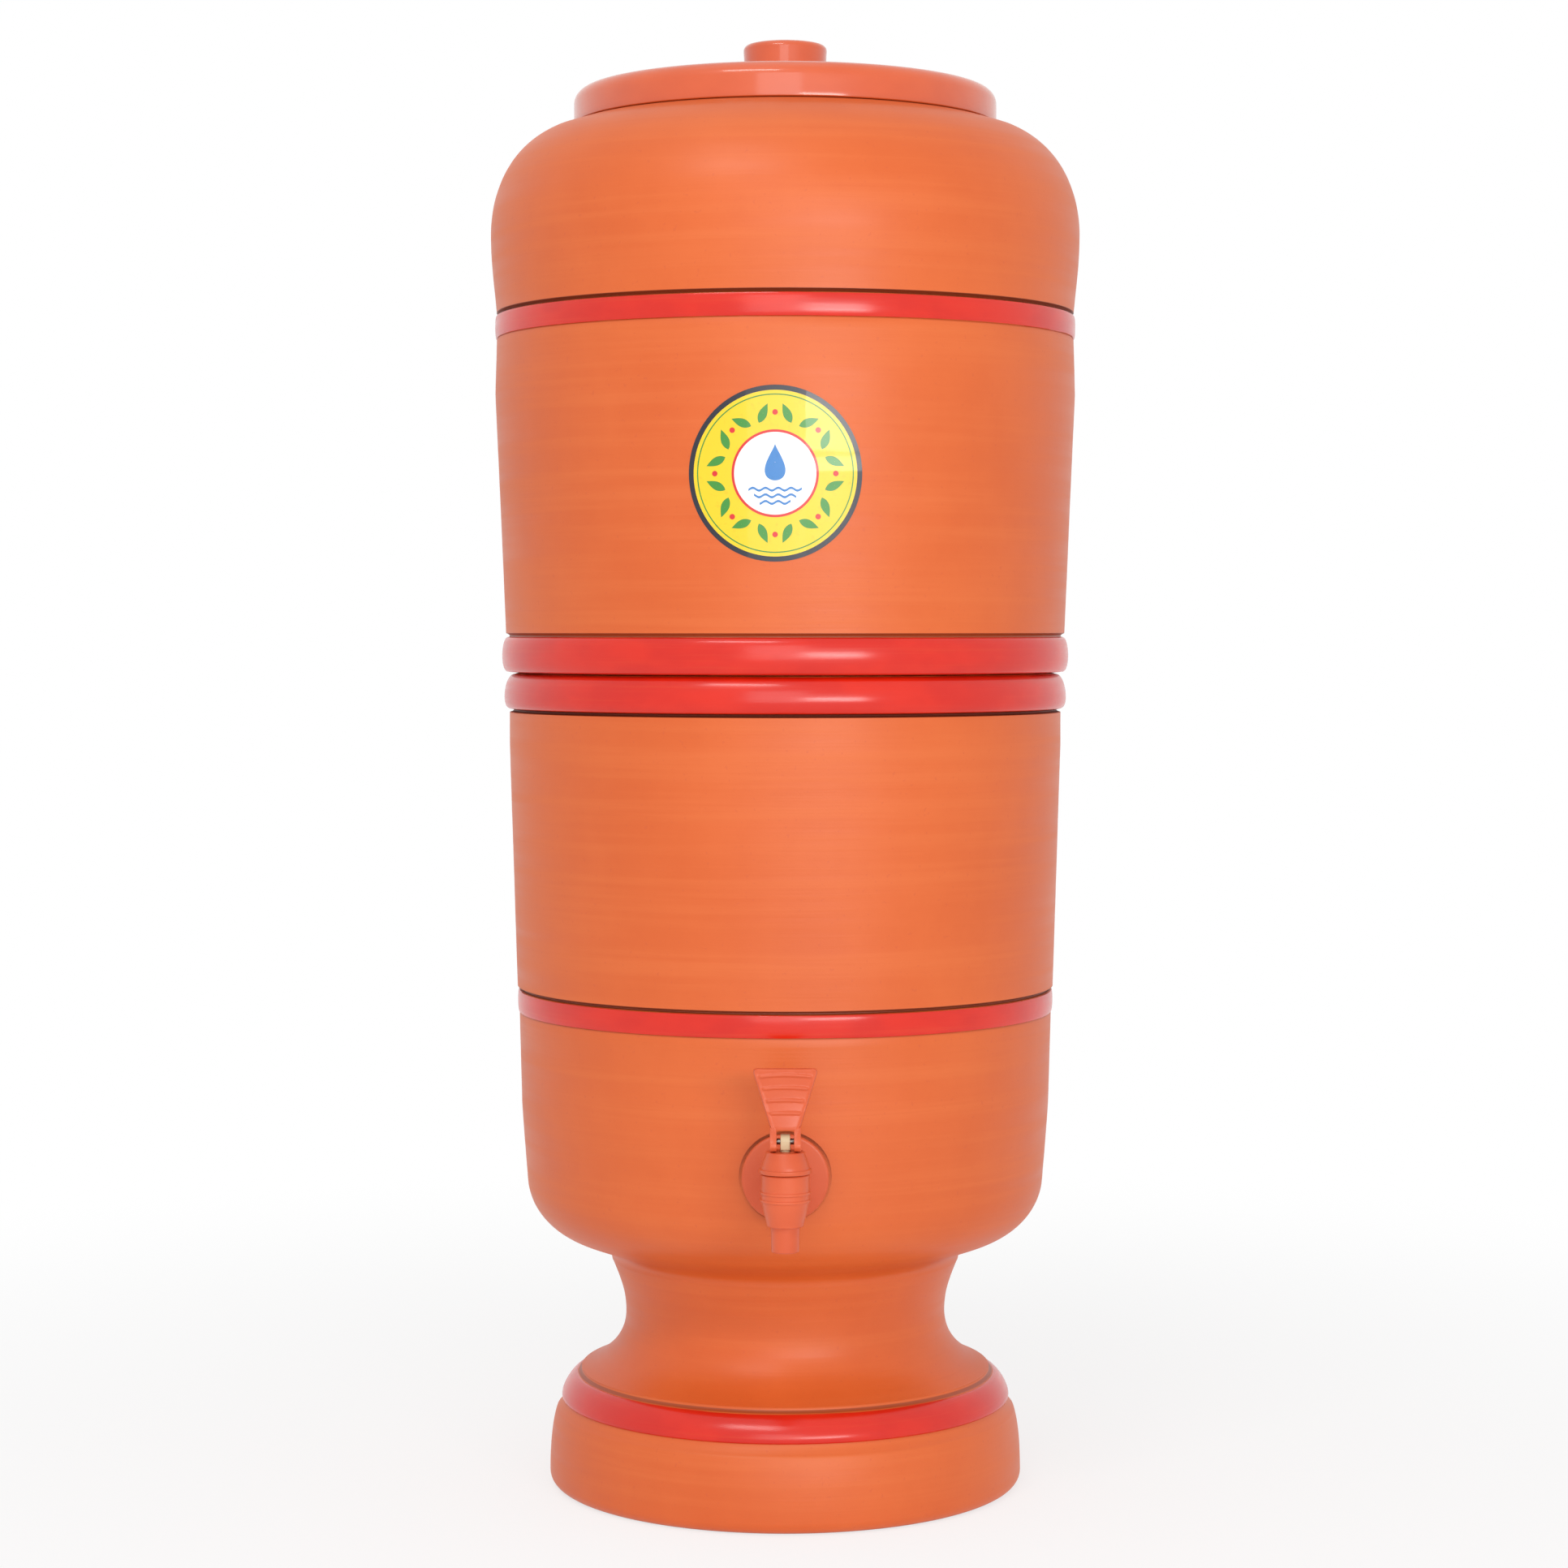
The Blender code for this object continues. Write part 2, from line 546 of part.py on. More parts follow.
def upper_outline():
    wall_low = (UPPER_BASE_RADIUS, UPPER_WALL_LOW)
    wall_mid = (UPPER_WALL_RADIUS, UPPER_WALL_LOW + UPPER_WALL_HEIGHT)
    widest = (BODY_RADIUS, SHOULDER_LOW)
    slope = (SHOULDER_TOP_RADIUS, SHOULDER_TOP)
    slope_handle = (
        SHOULDER_TOP_RADIUS + SHOULDER_HEIGHT * 0.45,
        SHOULDER_TOP - SHOULDER_HEIGHT * 0.45 * SHOULDER_SLOPE,
    )
    widest_below = ((BODY_RADIUS * 2 + UPPER_BAND_RADIUS) / 3, SHOULDER_LOW - SHOULDER_RISE / 2)
    outline = [
        (CANDLE_STEM_RADIUS + BUILD_GAP, UPPER_FLOOR_LOW),
        (SPIGOT_RADIUS - RIM_CORNER, UPPER_FLOOR_LOW),
        (SPIGOT_RADIUS, UPPER_FLOOR_LOW + RIM_CORNER),
        (SPIGOT_RADIUS, UPPER_SEAT),
        (JOINT_RADIUS, UPPER_SEAT),
    ]
    outline.append((JOINT_RADIUS, UPPER_BEAD_LOW))
    outline += bulge(
        (UPPER_LIP_RADIUS, UPPER_BEAD_LOW), (UPPER_BASE_RADIUS - GROOVE_DEPTH, UPPER_BEAD_TOP),
        UPPER_BEAD_BULGE, 5,
    )
    outline += [wall_low, wall_mid]
    outline += bulge(
        (UPPER_BAND_RADIUS, UPPER_BAND_LOW), (UPPER_BAND_RADIUS, UPPER_BAND_TOP), BAND_BULGE, 3
    )
    outline += groove(UPPER_BAND_RADIUS, UPPER_BAND_TOP, GROOVE_WIDTH, GROOVE_DEPTH)[1:]
    outline.append(widest_below)
    outline.append(widest)
    outline += bezier(
        widest, (BODY_RADIUS, SHOULDER_LOW + SHOULDER_HEIGHT * 0.29), slope_handle, slope, 6
    )
    outline += [
        (MOUTH_RIM_RADIUS, MOUTH_TOP),
        (MOUTH_RADIUS + RIM_CORNER, MOUTH_TOP),
        (MOUTH_RADIUS, MOUTH_TOP - RIM_CORNER),
        (MOUTH_RADIUS, MOUTH_TOP - CLAY_WALL),
    ]
    outline += bezier(
        outline[-1], (SHOULDER_TOP_RADIUS, SHOULDER_TOP - CLAY_WALL * 1.3),
        (BODY_RADIUS - CLAY_WALL, SHOULDER_LOW + SHOULDER_HEIGHT * 0.55),
        (BODY_RADIUS - CLAY_WALL, SHOULDER_LOW), 3,
    )
    outline += [
        (UPPER_INSIDE, UPPER_WALL_LOW + UPPER_WALL_HEIGHT),
        (UPPER_BASE_RADIUS - CLAY_WALL, UPPER_FLOOR_TOP + CLAY_WALL),
        (UPPER_BASE_RADIUS - CLAY_WALL * 1.3, UPPER_FLOOR_TOP + CLAY_WALL * 0.3),
        (UPPER_BASE_RADIUS - CLAY_WALL * 2, UPPER_FLOOR_TOP),
        (CANDLE_STEM_RADIUS + BUILD_GAP, UPPER_FLOOR_TOP),
    ]
    return outline


def lid_outline():
    """The lid's section, with heights counted from its skirt's lower edge."""
    ring_outside = MOUTH_RADIUS - BUILD_GAP
    edge_centre = (LID_RADIUS - LID_EDGE, LID_SKIRT_HEIGHT - LID_EDGE)
    dome_top = LID_SKIRT_HEIGHT + LID_DOME
    knob_top = dome_top + KNOB_HEIGHT
    outline = [(0.0, knob_top)]
    outline += corner((KNOB_RADIUS - KNOB_EDGE, knob_top - KNOB_EDGE), KNOB_EDGE, 90, 0, 3)
    outline += corner(
        (KNOB_RADIUS + KNOB_FILLET, dome_top + KNOB_FILLET), KNOB_FILLET, 180, 270, 2
    )
    outline += bezier(
        outline[-1], (LID_RADIUS * 0.5, dome_top),
        (LID_RADIUS * 0.75, LID_SKIRT_HEIGHT + LID_DOME * 0.2),
        (LID_RADIUS - LID_EDGE, LID_SKIRT_HEIGHT), 3,
    )
    outline += corner(edge_centre, LID_EDGE, 90, 0, 3)[1:]
    outline += [(LID_RADIUS, 0.0), (LID_RADIUS - LID_WALL, 0.0)]
    outline += corner(edge_centre, LID_EDGE - LID_WALL, 0, 90, 1)
    outline += [
        (ring_outside, LID_SKIRT_HEIGHT - LID_WALL),
        (ring_outside, -LID_RING_DEPTH),
        (ring_outside - LID_WALL, -LID_RING_DEPTH),
        (ring_outside - LID_WALL, LID_SKIRT_HEIGHT - LID_WALL),
        (KNOB_RADIUS - LID_WALL, dome_top - LID_WALL),
        (KNOB_RADIUS - LID_WALL, knob_top - LID_WALL),
        (0.0, knob_top - LID_WALL),
    ]
    return outline


def build_clay(axis, clay, enamel):
    pedestal = turned("pedestal", pedestal_outline(), clay, axis, VESSEL_FACETS)
    paint_bands(pedestal, enamel, [(FOOT_BEAD_LOW, FOOT_BEAD_TOP)])

    lower = turned("lower_reservoir", lower_outline(), clay, axis, VESSEL_FACETS)
    paint_bands(lower, enamel, [(LOWER_BAND_LOW, LOWER_BAND_TOP), (LOWER_BEAD_LOW, LOWER_BEAD_TOP)])
    hole = [
        (0.0, WALL_INSIDE - TAP_FLANGE_RADIUS),
        (TAP_WASHER_RADIUS + BUILD_GAP, WALL_INSIDE - TAP_FLANGE_RADIUS),
        (TAP_WASHER_RADIUS + BUILD_GAP, WALL_INSIDE),
        (SHANK_RADIUS + BUILD_GAP, WALL_INSIDE),
        (SHANK_RADIUS + BUILD_GAP, WALL_SEAT),
        (TAP_FLANGE_RADIUS + BUILD_GAP, WALL_SEAT),
        (TAP_FLANGE_RADIUS + BUILD_GAP, WALL_SEAT + TAP_FLANGE_RADIUS),
        (0.0, WALL_SEAT + TAP_FLANGE_RADIUS),
    ]
    hole_cutter = turned_along_y(
        "tap_hole", hole, None, axis, FITTING_FACETS, (0.0, 0.0, TAP_HEIGHT)
    )
    cut(lower, hole_cutter)

    upper = turned("upper_reservoir", upper_outline(), clay, axis, VESSEL_FACETS)
    paint_bands(upper, enamel, [(UPPER_BEAD_LOW, UPPER_BEAD_TOP), (UPPER_BAND_LOW, UPPER_BAND_TOP)])


# Where the wall is round the tap
WALL_SEAT = radius_at(lower_outside(), TAP_HEIGHT - TAP_FLANGE_RADIUS) - TAP_SEAT_CUT
WALL_INSIDE = radius_at(lower_outside(), TAP_HEIGHT) - CLAY_WALL
FLANGE_BACK = WALL_SEAT + TAP_WASHER_THICKNESS + 2 * SEAT_GAP
FLANGE_FRONT = FLANGE_BACK + TAP_FLANGE_THICKNESS
TAP_REACH = FLANGE_FRONT + TAP_NECK_LENGTH
NUT_FACE = WALL_INSIDE - TAP_WASHER_THICKNESS - 2 * SEAT_GAP
SHANK_BACK = NUT_FACE - SHANK_NUT_THICKNESS - SHANK_END
AXIS_SHIFT = (TAP_REACH + BONNET_RADIUS - BODY_RADIUS) / 2

# Heights inside the upper reservoir, and under it
GASKET_LOW = UPPER_FLOOR_TOP + SEAT_GAP
CANDLE_BASE_LOW = GASKET_LOW + GASKET_THICKNESS + SEAT_GAP
CANDLE_LOW = CANDLE_BASE_LOW + CANDLE_BASE_THICKNESS + SEAT_GAP
CANDLE_STEM_END = CANDLE_BASE_LOW - CANDLE_STEM_LENGTH
UNDER_GASKET_LOW = UPPER_FLOOR_LOW - SEAT_GAP - GASKET_THICKNESS
WING_NUT_LOW = UNDER_GASKET_LOW - SEAT_GAP - WING_NUT_HEIGHT
VALVE_LOW = CANDLE_STEM_END - SEAT_GAP + VALVE_SOCKET_DEPTH - VALVE_HEIGHT
NOZZLE_TIP = VALVE_LOW - VALVE_NOZZLE_LENGTH
SEAL_LOW = NOZZLE_TIP - SEAT_GAP - FLOAT_TRAVEL - VALVE_SEAL_THICKNESS
FLOAT_HEAD_LOW = SEAL_LOW - SEAT_GAP - FLOAT_HEAD_THICKNESS
CAGE_LOW = FLOAT_HEAD_LOW - SEAT_GAP - CAGE_PLATE
FLOAT_TOP = CAGE_LOW - FLOAT_TRAVEL - SEAT_GAP


def ring_outline(inside, outside, low, height):
    return [(inside, low), (outside, low), (outside, low + height), (inside, low + height)]


def build_candle(axis, paint):
    clear = CANDLE_STEM_RADIUS + SEAT_GAP
    candle_top = CANDLE_LOW + CANDLE_HEIGHT
    dome_level = candle_top - CANDLE_DOME
    inside = CANDLE_RADIUS - CANDLE_WALL
    ceramic = [
        (0.0, candle_top - CANDLE_WALL), (inside * 0.7, candle_top - CANDLE_WALL * 1.3),
        (inside, dome_level), (inside, CANDLE_LOW),
        (CANDLE_RADIUS, CANDLE_LOW), (CANDLE_RADIUS, dome_level),
    ]
    ceramic += bezier(
        ceramic[-1], (CANDLE_RADIUS, dome_level + CANDLE_DOME * 0.6),
        (CANDLE_RADIUS * 0.55, candle_top), (0.0, candle_top), 5,
    )
    turned("candle_ceramic", ceramic, paint["ceramic"], axis, FITTING_FACETS)

    carbon_radius = inside - SEAT_GAP * 2
    carbon_top = candle_top - CANDLE_DOME
    carbon = [
        (0.0, CANDLE_LOW), (carbon_radius, CANDLE_LOW),
        (carbon_radius, carbon_top - CARBON_EDGE), (carbon_radius - CARBON_EDGE, carbon_top),
        (0.0, carbon_top),
    ]
    turned("candle_carbon", carbon, paint["carbon"], axis, SMALL_FACETS)

    rim_top = CANDLE_BASE_LOW + CANDLE_BASE_RIM
    base = [
        (CANDLE_STEM_BORE, CANDLE_STEM_END), (CANDLE_STEM_RADIUS, CANDLE_STEM_END),
        (CANDLE_STEM_RADIUS, CANDLE_BASE_LOW),
        (CANDLE_BASE_RADIUS - RIM_CORNER, CANDLE_BASE_LOW),
        (CANDLE_BASE_RADIUS, CANDLE_BASE_LOW + RIM_CORNER),
        (CANDLE_BASE_RADIUS, rim_top),
        (CANDLE_RADIUS + SEAT_GAP * 2, rim_top),
        (CANDLE_RADIUS + SEAT_GAP * 2, CANDLE_BASE_LOW + CANDLE_BASE_THICKNESS),
        (CANDLE_STEM_BORE, CANDLE_BASE_LOW + CANDLE_BASE_THICKNESS),
    ]
    turned("candle_base", base, paint["white"], axis, FITTING_FACETS)
    turned(
        "candle_gasket_upper", ring_outline(clear, GASKET_RADIUS, GASKET_LOW, GASKET_THICKNESS),
        paint["rubber"], axis, SMALL_FACETS,
    )
    turned(
        "candle_gasket_lower", ring_outline(clear, GASKET_RADIUS, UNDER_GASKET_LOW, GASKET_THICKNESS),
        paint["rubber"], axis, SMALL_FACETS,
    )
    nut = turned(
        "candle_wing_nut", ring_outline(clear, WING_NUT_RADIUS, WING_NUT_LOW, WING_NUT_HEIGHT),
        paint["white"], axis, SMALL_FACETS,
    )
    wing_root = (clear + WING_NUT_RADIUS) / 2
    half = WING_NUT_HEIGHT / 2
    for side, label in ((-1, "left"), (1, "right")):
        ear = [(side * wing_root, half * 0.2), (side * wing_root, half * 1.8)]
        ear += [
            (side * (WING_SPAN - half + point[0]), half + point[1])
            for point in corner((0.0, 0.0), half, 90, -90, 6)
        ]
        wing = extruded(
            "wing_" + label, ear, WING_THICKNESS / 2, None, axis, (0.0, 0.0, WING_NUT_LOW)
        )
        join(nut, wing)


def build_float_valve(upper_axis, float_axis, paint):
    socket = CANDLE_STEM_RADIUS + SEAT_GAP
    top = VALVE_LOW + VALVE_HEIGHT
    body = [
        (CANDLE_STEM_BORE, NOZZLE_TIP), (VALVE_NOZZLE_RADIUS, NOZZLE_TIP),
        (VALVE_NOZZLE_RADIUS, VALVE_LOW), (VALVE_FLANGE_RADIUS, VALVE_LOW),
        (VALVE_FLANGE_RADIUS, VALVE_LOW + VALVE_FLANGE_THICKNESS),
        (VALVE_RADIUS, VALVE_LOW + VALVE_FLANGE_THICKNESS),
        (VALVE_RADIUS, top), (socket, top), (socket, top - VALVE_SOCKET_DEPTH),
        (CANDLE_STEM_BORE, top - VALVE_SOCKET_DEPTH),
    ]
    turned("float_valve_body", body, paint["white"], upper_axis, SMALL_FACETS)

    cage_top = VALVE_LOW - SEAT_GAP
    cage_inside = VALVE_FLANGE_RADIUS - CAGE_WALL
    plate_hole = FLOAT_STEM_RADIUS + RUNNING_GAP * 2
    cage_outline = [
        (plate_hole, CAGE_LOW), (VALVE_FLANGE_RADIUS, CAGE_LOW),
        (VALVE_FLANGE_RADIUS, cage_top), (cage_inside, cage_top),
        (cage_inside, CAGE_LOW + CAGE_PLATE), (plate_hole, CAGE_LOW + CAGE_PLATE),
    ]
    cage = turned("float_valve_cage", cage_outline, paint["white"], upper_axis, SMALL_FACETS)
    window_low = (CAGE_LOW + CAGE_PLATE + cage_top - CAGE_WINDOW_HEIGHT) / 2
    half = CAGE_WINDOW_WIDTH / 2
    reach = VALVE_FLANGE_RADIUS * 1.5
    window = [
        (-reach, window_low), (reach, window_low),
        (reach, window_low + CAGE_WINDOW_HEIGHT), (-reach, window_low + CAGE_WINDOW_HEIGHT),
    ]
    across = extruded("cage_windows_front", window, half, None, upper_axis)
    along = extruded("cage_windows_side", window, half, None, upper_axis)
    along.rotation_euler = (0.0, 0.0, math.radians(90.0))
    cut(cage, across)
    cut(cage, along)

    turned(
        "float_valve_seal", [
            (0.0, SEAL_LOW), (VALVE_SEAL_RADIUS, SEAL_LOW),
            (VALVE_SEAL_RADIUS, SEAL_LOW + VALVE_SEAL_THICKNESS),
            (0.0, SEAL_LOW + VALVE_SEAL_THICKNESS),
        ], paint["rubber"], float_axis, SMALL_FACETS,
    )
    float_low = FLOAT_TOP - FLOAT_HEIGHT
    head_top = FLOAT_HEAD_LOW + FLOAT_HEAD_THICKNESS
    outline = [(0.0, float_low)]
    outline += corner((FLOAT_RADIUS - FLOAT_EDGE, float_low + FLOAT_EDGE), FLOAT_EDGE, -90, 0, 3)
    outline += corner((FLOAT_RADIUS - FLOAT_EDGE, FLOAT_TOP - FLOAT_EDGE), FLOAT_EDGE, 0, 90, 3)
    outline += [
        (FLOAT_STEM_RADIUS, FLOAT_TOP), (FLOAT_STEM_RADIUS, FLOAT_HEAD_LOW),
        (FLOAT_HEAD_RADIUS, FLOAT_HEAD_LOW), (FLOAT_HEAD_RADIUS, head_top), (0.0, head_top),
    ]
    turned("float", outline, paint["float"], float_axis, SMALL_FACETS)


# Heights in the tap, counted from the shank's axis
SEAT_LEVEL = -SEAT_DROP
NOZZLE_END = -BARREL_DROP - NOZZLE_LENGTH
CUP_LOW = SEAT_LEVEL + SEAT_GAP
STEM_LOW = CUP_LOW + SEAT_CUP_FLOOR + SEAT_GAP
COLLAR_LOW = SEAT_LEVEL + STEM_COLLAR_RISE
COLLAR_TOP = COLLAR_LOW + STEM_COLLAR_HEIGHT
BONNET_LOW = BARREL_RISE + SEAT_GAP
BONNET_TOP = BONNET_LOW + BONNET_HEIGHT
BONNET_UNDER = BONNET_TOP - BONNET_PLATE
PIVOT_LEVEL = BONNET_TOP + PIVOT_RISE


def build_tap_mount(axis, paint):
    washer_hole = SHANK_RADIUS + SEAT_GAP
    turned_along_y(
        "tap_outer_washer",
        ring_outline(washer_hole, TAP_WASHER_RADIUS, WALL_SEAT + SEAT_GAP, TAP_WASHER_THICKNESS),
        paint["rubber"], axis, FITTING_FACETS, (0.0, 0.0, TAP_HEIGHT),
    )
    turned_along_y(
        "tap_inner_washer",
        ring_outline(washer_hole, TAP_WASHER_RADIUS, NUT_FACE + SEAT_GAP, TAP_WASHER_THICKNESS),
        paint["rubber"], axis, FITTING_FACETS, (0.0, 0.0, TAP_HEIGHT),
    )
    nut_back = NUT_FACE - SHANK_NUT_THICKNESS
    loops = []
    for hexagon, depth in ((False, nut_back), (True, nut_back), (True, NUT_FACE), (False, NUT_FACE)):
        loop = []
        for index in range(NUT_FACETS):
            angle = math.tau * index / NUT_FACETS
            radius = washer_hole
            if hexagon:
                from_flat = angle % (math.pi / 3) - math.pi / 6
                radius = SHANK_NUT_RADIUS * math.cos(math.pi / 6) / math.cos(from_flat)
            loop.append((radius * math.cos(angle), -depth, radius * math.sin(angle)))
        loops.append(loop)
    add_object(
        "tap_shank_nut", lofted_mesh("tap_shank_nut", loops, True), paint["tap"], axis,
        (0.0, 0.0, TAP_HEIGHT),
    )


def build_tap_body(tap, paint):
    taper_top = -BARREL_RING_DROP - BARREL_RING_PITCH - 2 * BARREL_RING_WIDTH
    outline = [(0.0, BARREL_RISE), (BARREL_RADIUS, BARREL_RISE)]
    for ring in range(2):
        middle = -BARREL_RING_DROP - ring * BARREL_RING_PITCH
        outline += [
            (BARREL_RADIUS, middle + BARREL_RING_WIDTH / 2),
            (BARREL_RADIUS + BARREL_RING, middle),
            (BARREL_RADIUS, middle - BARREL_RING_WIDTH / 2),
        ]
    outline.append((BARREL_RADIUS - BARREL_RING, taper_top))
    outline += bezier(
        outline[-1], (BARREL_RADIUS - BARREL_RING * 2, -BARREL_DROP * 0.65),
        (BARREL_FOOT_RADIUS, -BARREL_DROP * 0.85), (BARREL_FOOT_RADIUS, -BARREL_DROP), 3,
    )
    outline += [
        (NOZZLE_RADIUS, -BARREL_DROP), (NOZZLE_RADIUS - BARREL_RING / 2, NOZZLE_END),
        (0.0, NOZZLE_END),
    ]
    body = turned("tap_body", outline, paint["tap"], tap, FITTING_FACETS)

    shank_end = SHANK_BACK - TAP_REACH
    flange_back = FLANGE_BACK - TAP_REACH
    flange_front = FLANGE_FRONT - TAP_REACH
    shank = [
        (0.0, shank_end), (SHANK_RADIUS, shank_end),
        (SHANK_RADIUS, flange_back), (TAP_FLANGE_RADIUS, flange_back),
        (TAP_FLANGE_RADIUS, flange_front - TAP_FLANGE_EDGE),
        (TAP_FLANGE_RADIUS - TAP_FLANGE_EDGE, flange_front),
        (TAP_NECK_RADIUS + TAP_FLANGE_EDGE, flange_front),
        (TAP_NECK_RADIUS, flange_front + TAP_FLANGE_EDGE),
        (TAP_NECK_RADIUS, 0.0), (0.0, 0.0),
    ]
    join(body, turned_along_y("tap_shank", shank, None, tap, FITTING_FACETS))

    above = BARREL_RISE + BONNET_HEIGHT
    below = NOZZLE_END - NOZZLE_LENGTH / 2
    chamber = [
        (0.0, above), (CHAMBER_RADIUS, above), (CHAMBER_RADIUS, -CHAMBER_STEP_DROP),
        (CHAMBER_FOOT_RADIUS, -CHAMBER_STEP_DROP - CHAMBER_RADIUS + CHAMBER_FOOT_RADIUS),
        (CHAMBER_FOOT_RADIUS, SEAT_LEVEL), (NOZZLE_BORE, SEAT_LEVEL),
        (NOZZLE_BORE, below), (0.0, below),
    ]
    cut(body, turned("tap_chamber", chamber, None, tap, FITTING_FACETS))
    behind = shank_end - SHANK_END
    water_way = [(0.0, behind), (SHANK_BORE, behind), (SHANK_BORE, 0.0), (0.0, 0.0)]
    cut(body, turned_along_y("tap_water_way", water_way, None, tap, SMALL_FACETS))


def build_bonnet(tap, paint):
    plug_outside = CHAMBER_RADIUS - SEAT_GAP * 1.5
    plug_low = BONNET_LOW - BONNET_PLUG_DEPTH
    stem_hole = STEM_RADIUS + RUNNING_GAP
    edge_centre = (BONNET_TOP_RADIUS - BONNET_EDGE, BONNET_TOP - BONNET_EDGE)
    outline = [(stem_hole, BONNET_TOP)]
    outline += corner(edge_centre, BONNET_EDGE, 90, 20, 2)
    outline += [
        (BONNET_RADIUS - BONNET_EDGE, BONNET_LOW + BONNET_RIM + BONNET_EDGE),
        (BONNET_RADIUS, BONNET_LOW + BONNET_RIM), (BONNET_RADIUS, BONNET_LOW + BONNET_EDGE / 2),
        (BONNET_RADIUS - BONNET_EDGE / 2, BONNET_LOW), (plug_outside, BONNET_LOW),
        (plug_outside, plug_low), (plug_outside - BONNET_PLUG_WALL, plug_low),
        (plug_outside - BONNET_PLUG_WALL, BONNET_UNDER), (stem_hole, BONNET_UNDER),
    ]
    turned("tap_bonnet", outline, paint["tap"], tap, FITTING_FACETS)


def spring_mesh(name, low, high):
    """One unbroken wire wound round the stem, square-cut at both ends."""
    steps = SPRING_TURNS * 10
    sides = 5
    rise = high - low - 2 * SPRING_WIRE
    pitch_angle = math.atan2(rise, math.tau * SPRING_RADIUS * SPRING_TURNS)
    loops = []
    for step in range(steps + 1):
        angle = math.tau * SPRING_TURNS * step / steps
        height = low + SPRING_WIRE + rise * step / steps
        loop = []
        for side in range(sides):
            turn = math.tau * side / sides
            radial = SPRING_RADIUS + SPRING_WIRE * math.cos(turn)
            tangent = -SPRING_WIRE * math.sin(turn) * math.sin(pitch_angle)
            loop.append((
                radial * math.cos(angle) - tangent * math.sin(angle),
                radial * math.sin(angle) + tangent * math.cos(angle),
                height + SPRING_WIRE * math.sin(turn) * math.cos(pitch_angle),
            ))
        loops.append(loop)
    return lofted_mesh(name, loops, False)


def build_stem(stem, paint):
    """The stem, its seal and its spring, with heights counted from the shank's axis."""
    outline = [
        (0.0, STEM_LOW), (STEM_FOOT_RADIUS, STEM_LOW), (STEM_FOOT_RADIUS, STEM_LOW + STEM_FOOT_HEIGHT),
        (STEM_RADIUS, STEM_LOW + STEM_FOOT_HEIGHT), (STEM_RADIUS, COLLAR_LOW),
        (STEM_COLLAR_RADIUS, COLLAR_LOW), (STEM_COLLAR_RADIUS, COLLAR_TOP),
        (STEM_RADIUS, COLLAR_TOP), (STEM_RADIUS, PIVOT_LEVEL), (0.0, PIVOT_LEVEL),
    ]
    rod = turned("tap_stem", outline, paint["stem"], stem, SMALL_FACETS)
    eye_low = PIVOT_LEVEL - STEM_EYE_RADIUS
    eye = [(STEM_EYE_RADIUS, eye_low), (-STEM_EYE_RADIUS, eye_low)]
    eye += [(-y, z) for y, z in corner((0.0, PIVOT_LEVEL), STEM_EYE_RADIUS, 0, 180, 8)]
    join(rod, extruded("stem_eye", eye, STEM_EYE_WIDTH / 2, None, stem))
    hole = pin_circle((0.0, PIVOT_LEVEL), PIN_RADIUS + RUNNING_GAP)
    cut(rod, extruded("stem_pin_hole", hole, STEM_EYE_WIDTH, None, stem))

    cup_top = CUP_LOW + SEAT_CUP_HEIGHT
    pocket = STEM_FOOT_RADIUS + SEAT_GAP
    cup = [
        (0.0, CUP_LOW), (SEAT_CUP_RADIUS, CUP_LOW), (SEAT_CUP_RADIUS, cup_top),
        (pocket, cup_top), (pocket, CUP_LOW + SEAT_CUP_FLOOR), (0.0, CUP_LOW + SEAT_CUP_FLOOR),
    ]
    turned("tap_seat_cup", cup, paint["rubber"], stem, SMALL_FACETS)
    coil = spring_mesh("tap_spring", COLLAR_TOP + SEAT_GAP, BONNET_UNDER - SEAT_GAP)
    add_object("tap_spring", coil, paint["steel"], stem)


def cheek_outline():
    """Side of the lever's fork, in (y, z) from the pivot.

    Its foot is an involute, so tilting the lever by an angle lifts the pivot by
    the same share of STEM_LIFT all the way.
    """
    rest = PIVOT_RISE - SEAT_GAP
    rate = STEM_LIFT / LEVER_SWING
    outline = [
        (FORK_BACK, PADDLE_NECK_RISE), (FORK_BACK, -rest + PADDLE_EDGE),
        (FORK_BACK - PADDLE_EDGE, -rest),
    ]
    steps = 7
    for step in range(steps + 1):
        angle = LEVER_SWING * step / steps
        support = rest + rate * angle
        outline.append((
            -support * math.sin(angle) - rate * math.cos(angle),
            -support * math.cos(angle) + rate * math.sin(angle),
        ))
    last_y, last_z = outline[-1]
    outline += [
        (last_y, last_z + PADDLE_EDGE * 2),
        (last_y + PADDLE_EDGE * 2, last_z + PADDLE_EDGE * 5),
        (-PADDLE_NECK_THICKNESS / 2, PADDLE_NECK_RISE),
    ]
    return outline


def paddle_mesh(name):
    """The thumb paddle: it flares upward, thins towards its top and bows back a little."""
    steps = 4
    levels = [FORK_SLOT_RISE, PADDLE_NECK_RISE]
    levels += [
        PADDLE_NECK_RISE + (PADDLE_HEIGHT - PADDLE_NECK_RISE) * step / steps
        for step in range(1, steps + 1)
    ]
    loops = []
    for level in levels:
        half = paddle_half_width(level)
        front, back = paddle_faces(level)
        loops.append([
            (-half, back, level), (-half, front, level), (half, front, level), (half, back, level),
        ])
    return lofted_mesh(name, loops, False)


def paddle_share(level):
    return max(0.0, (level - PADDLE_NECK_RISE) / (PADDLE_HEIGHT - PADDLE_NECK_RISE))


def paddle_half_width(level):
    if level < PADDLE_NECK_RISE:
        return FORK_HALF_WIDTH
    return PADDLE_NECK_HALF + (PADDLE_TOP_HALF - PADDLE_NECK_HALF) * paddle_share(level)


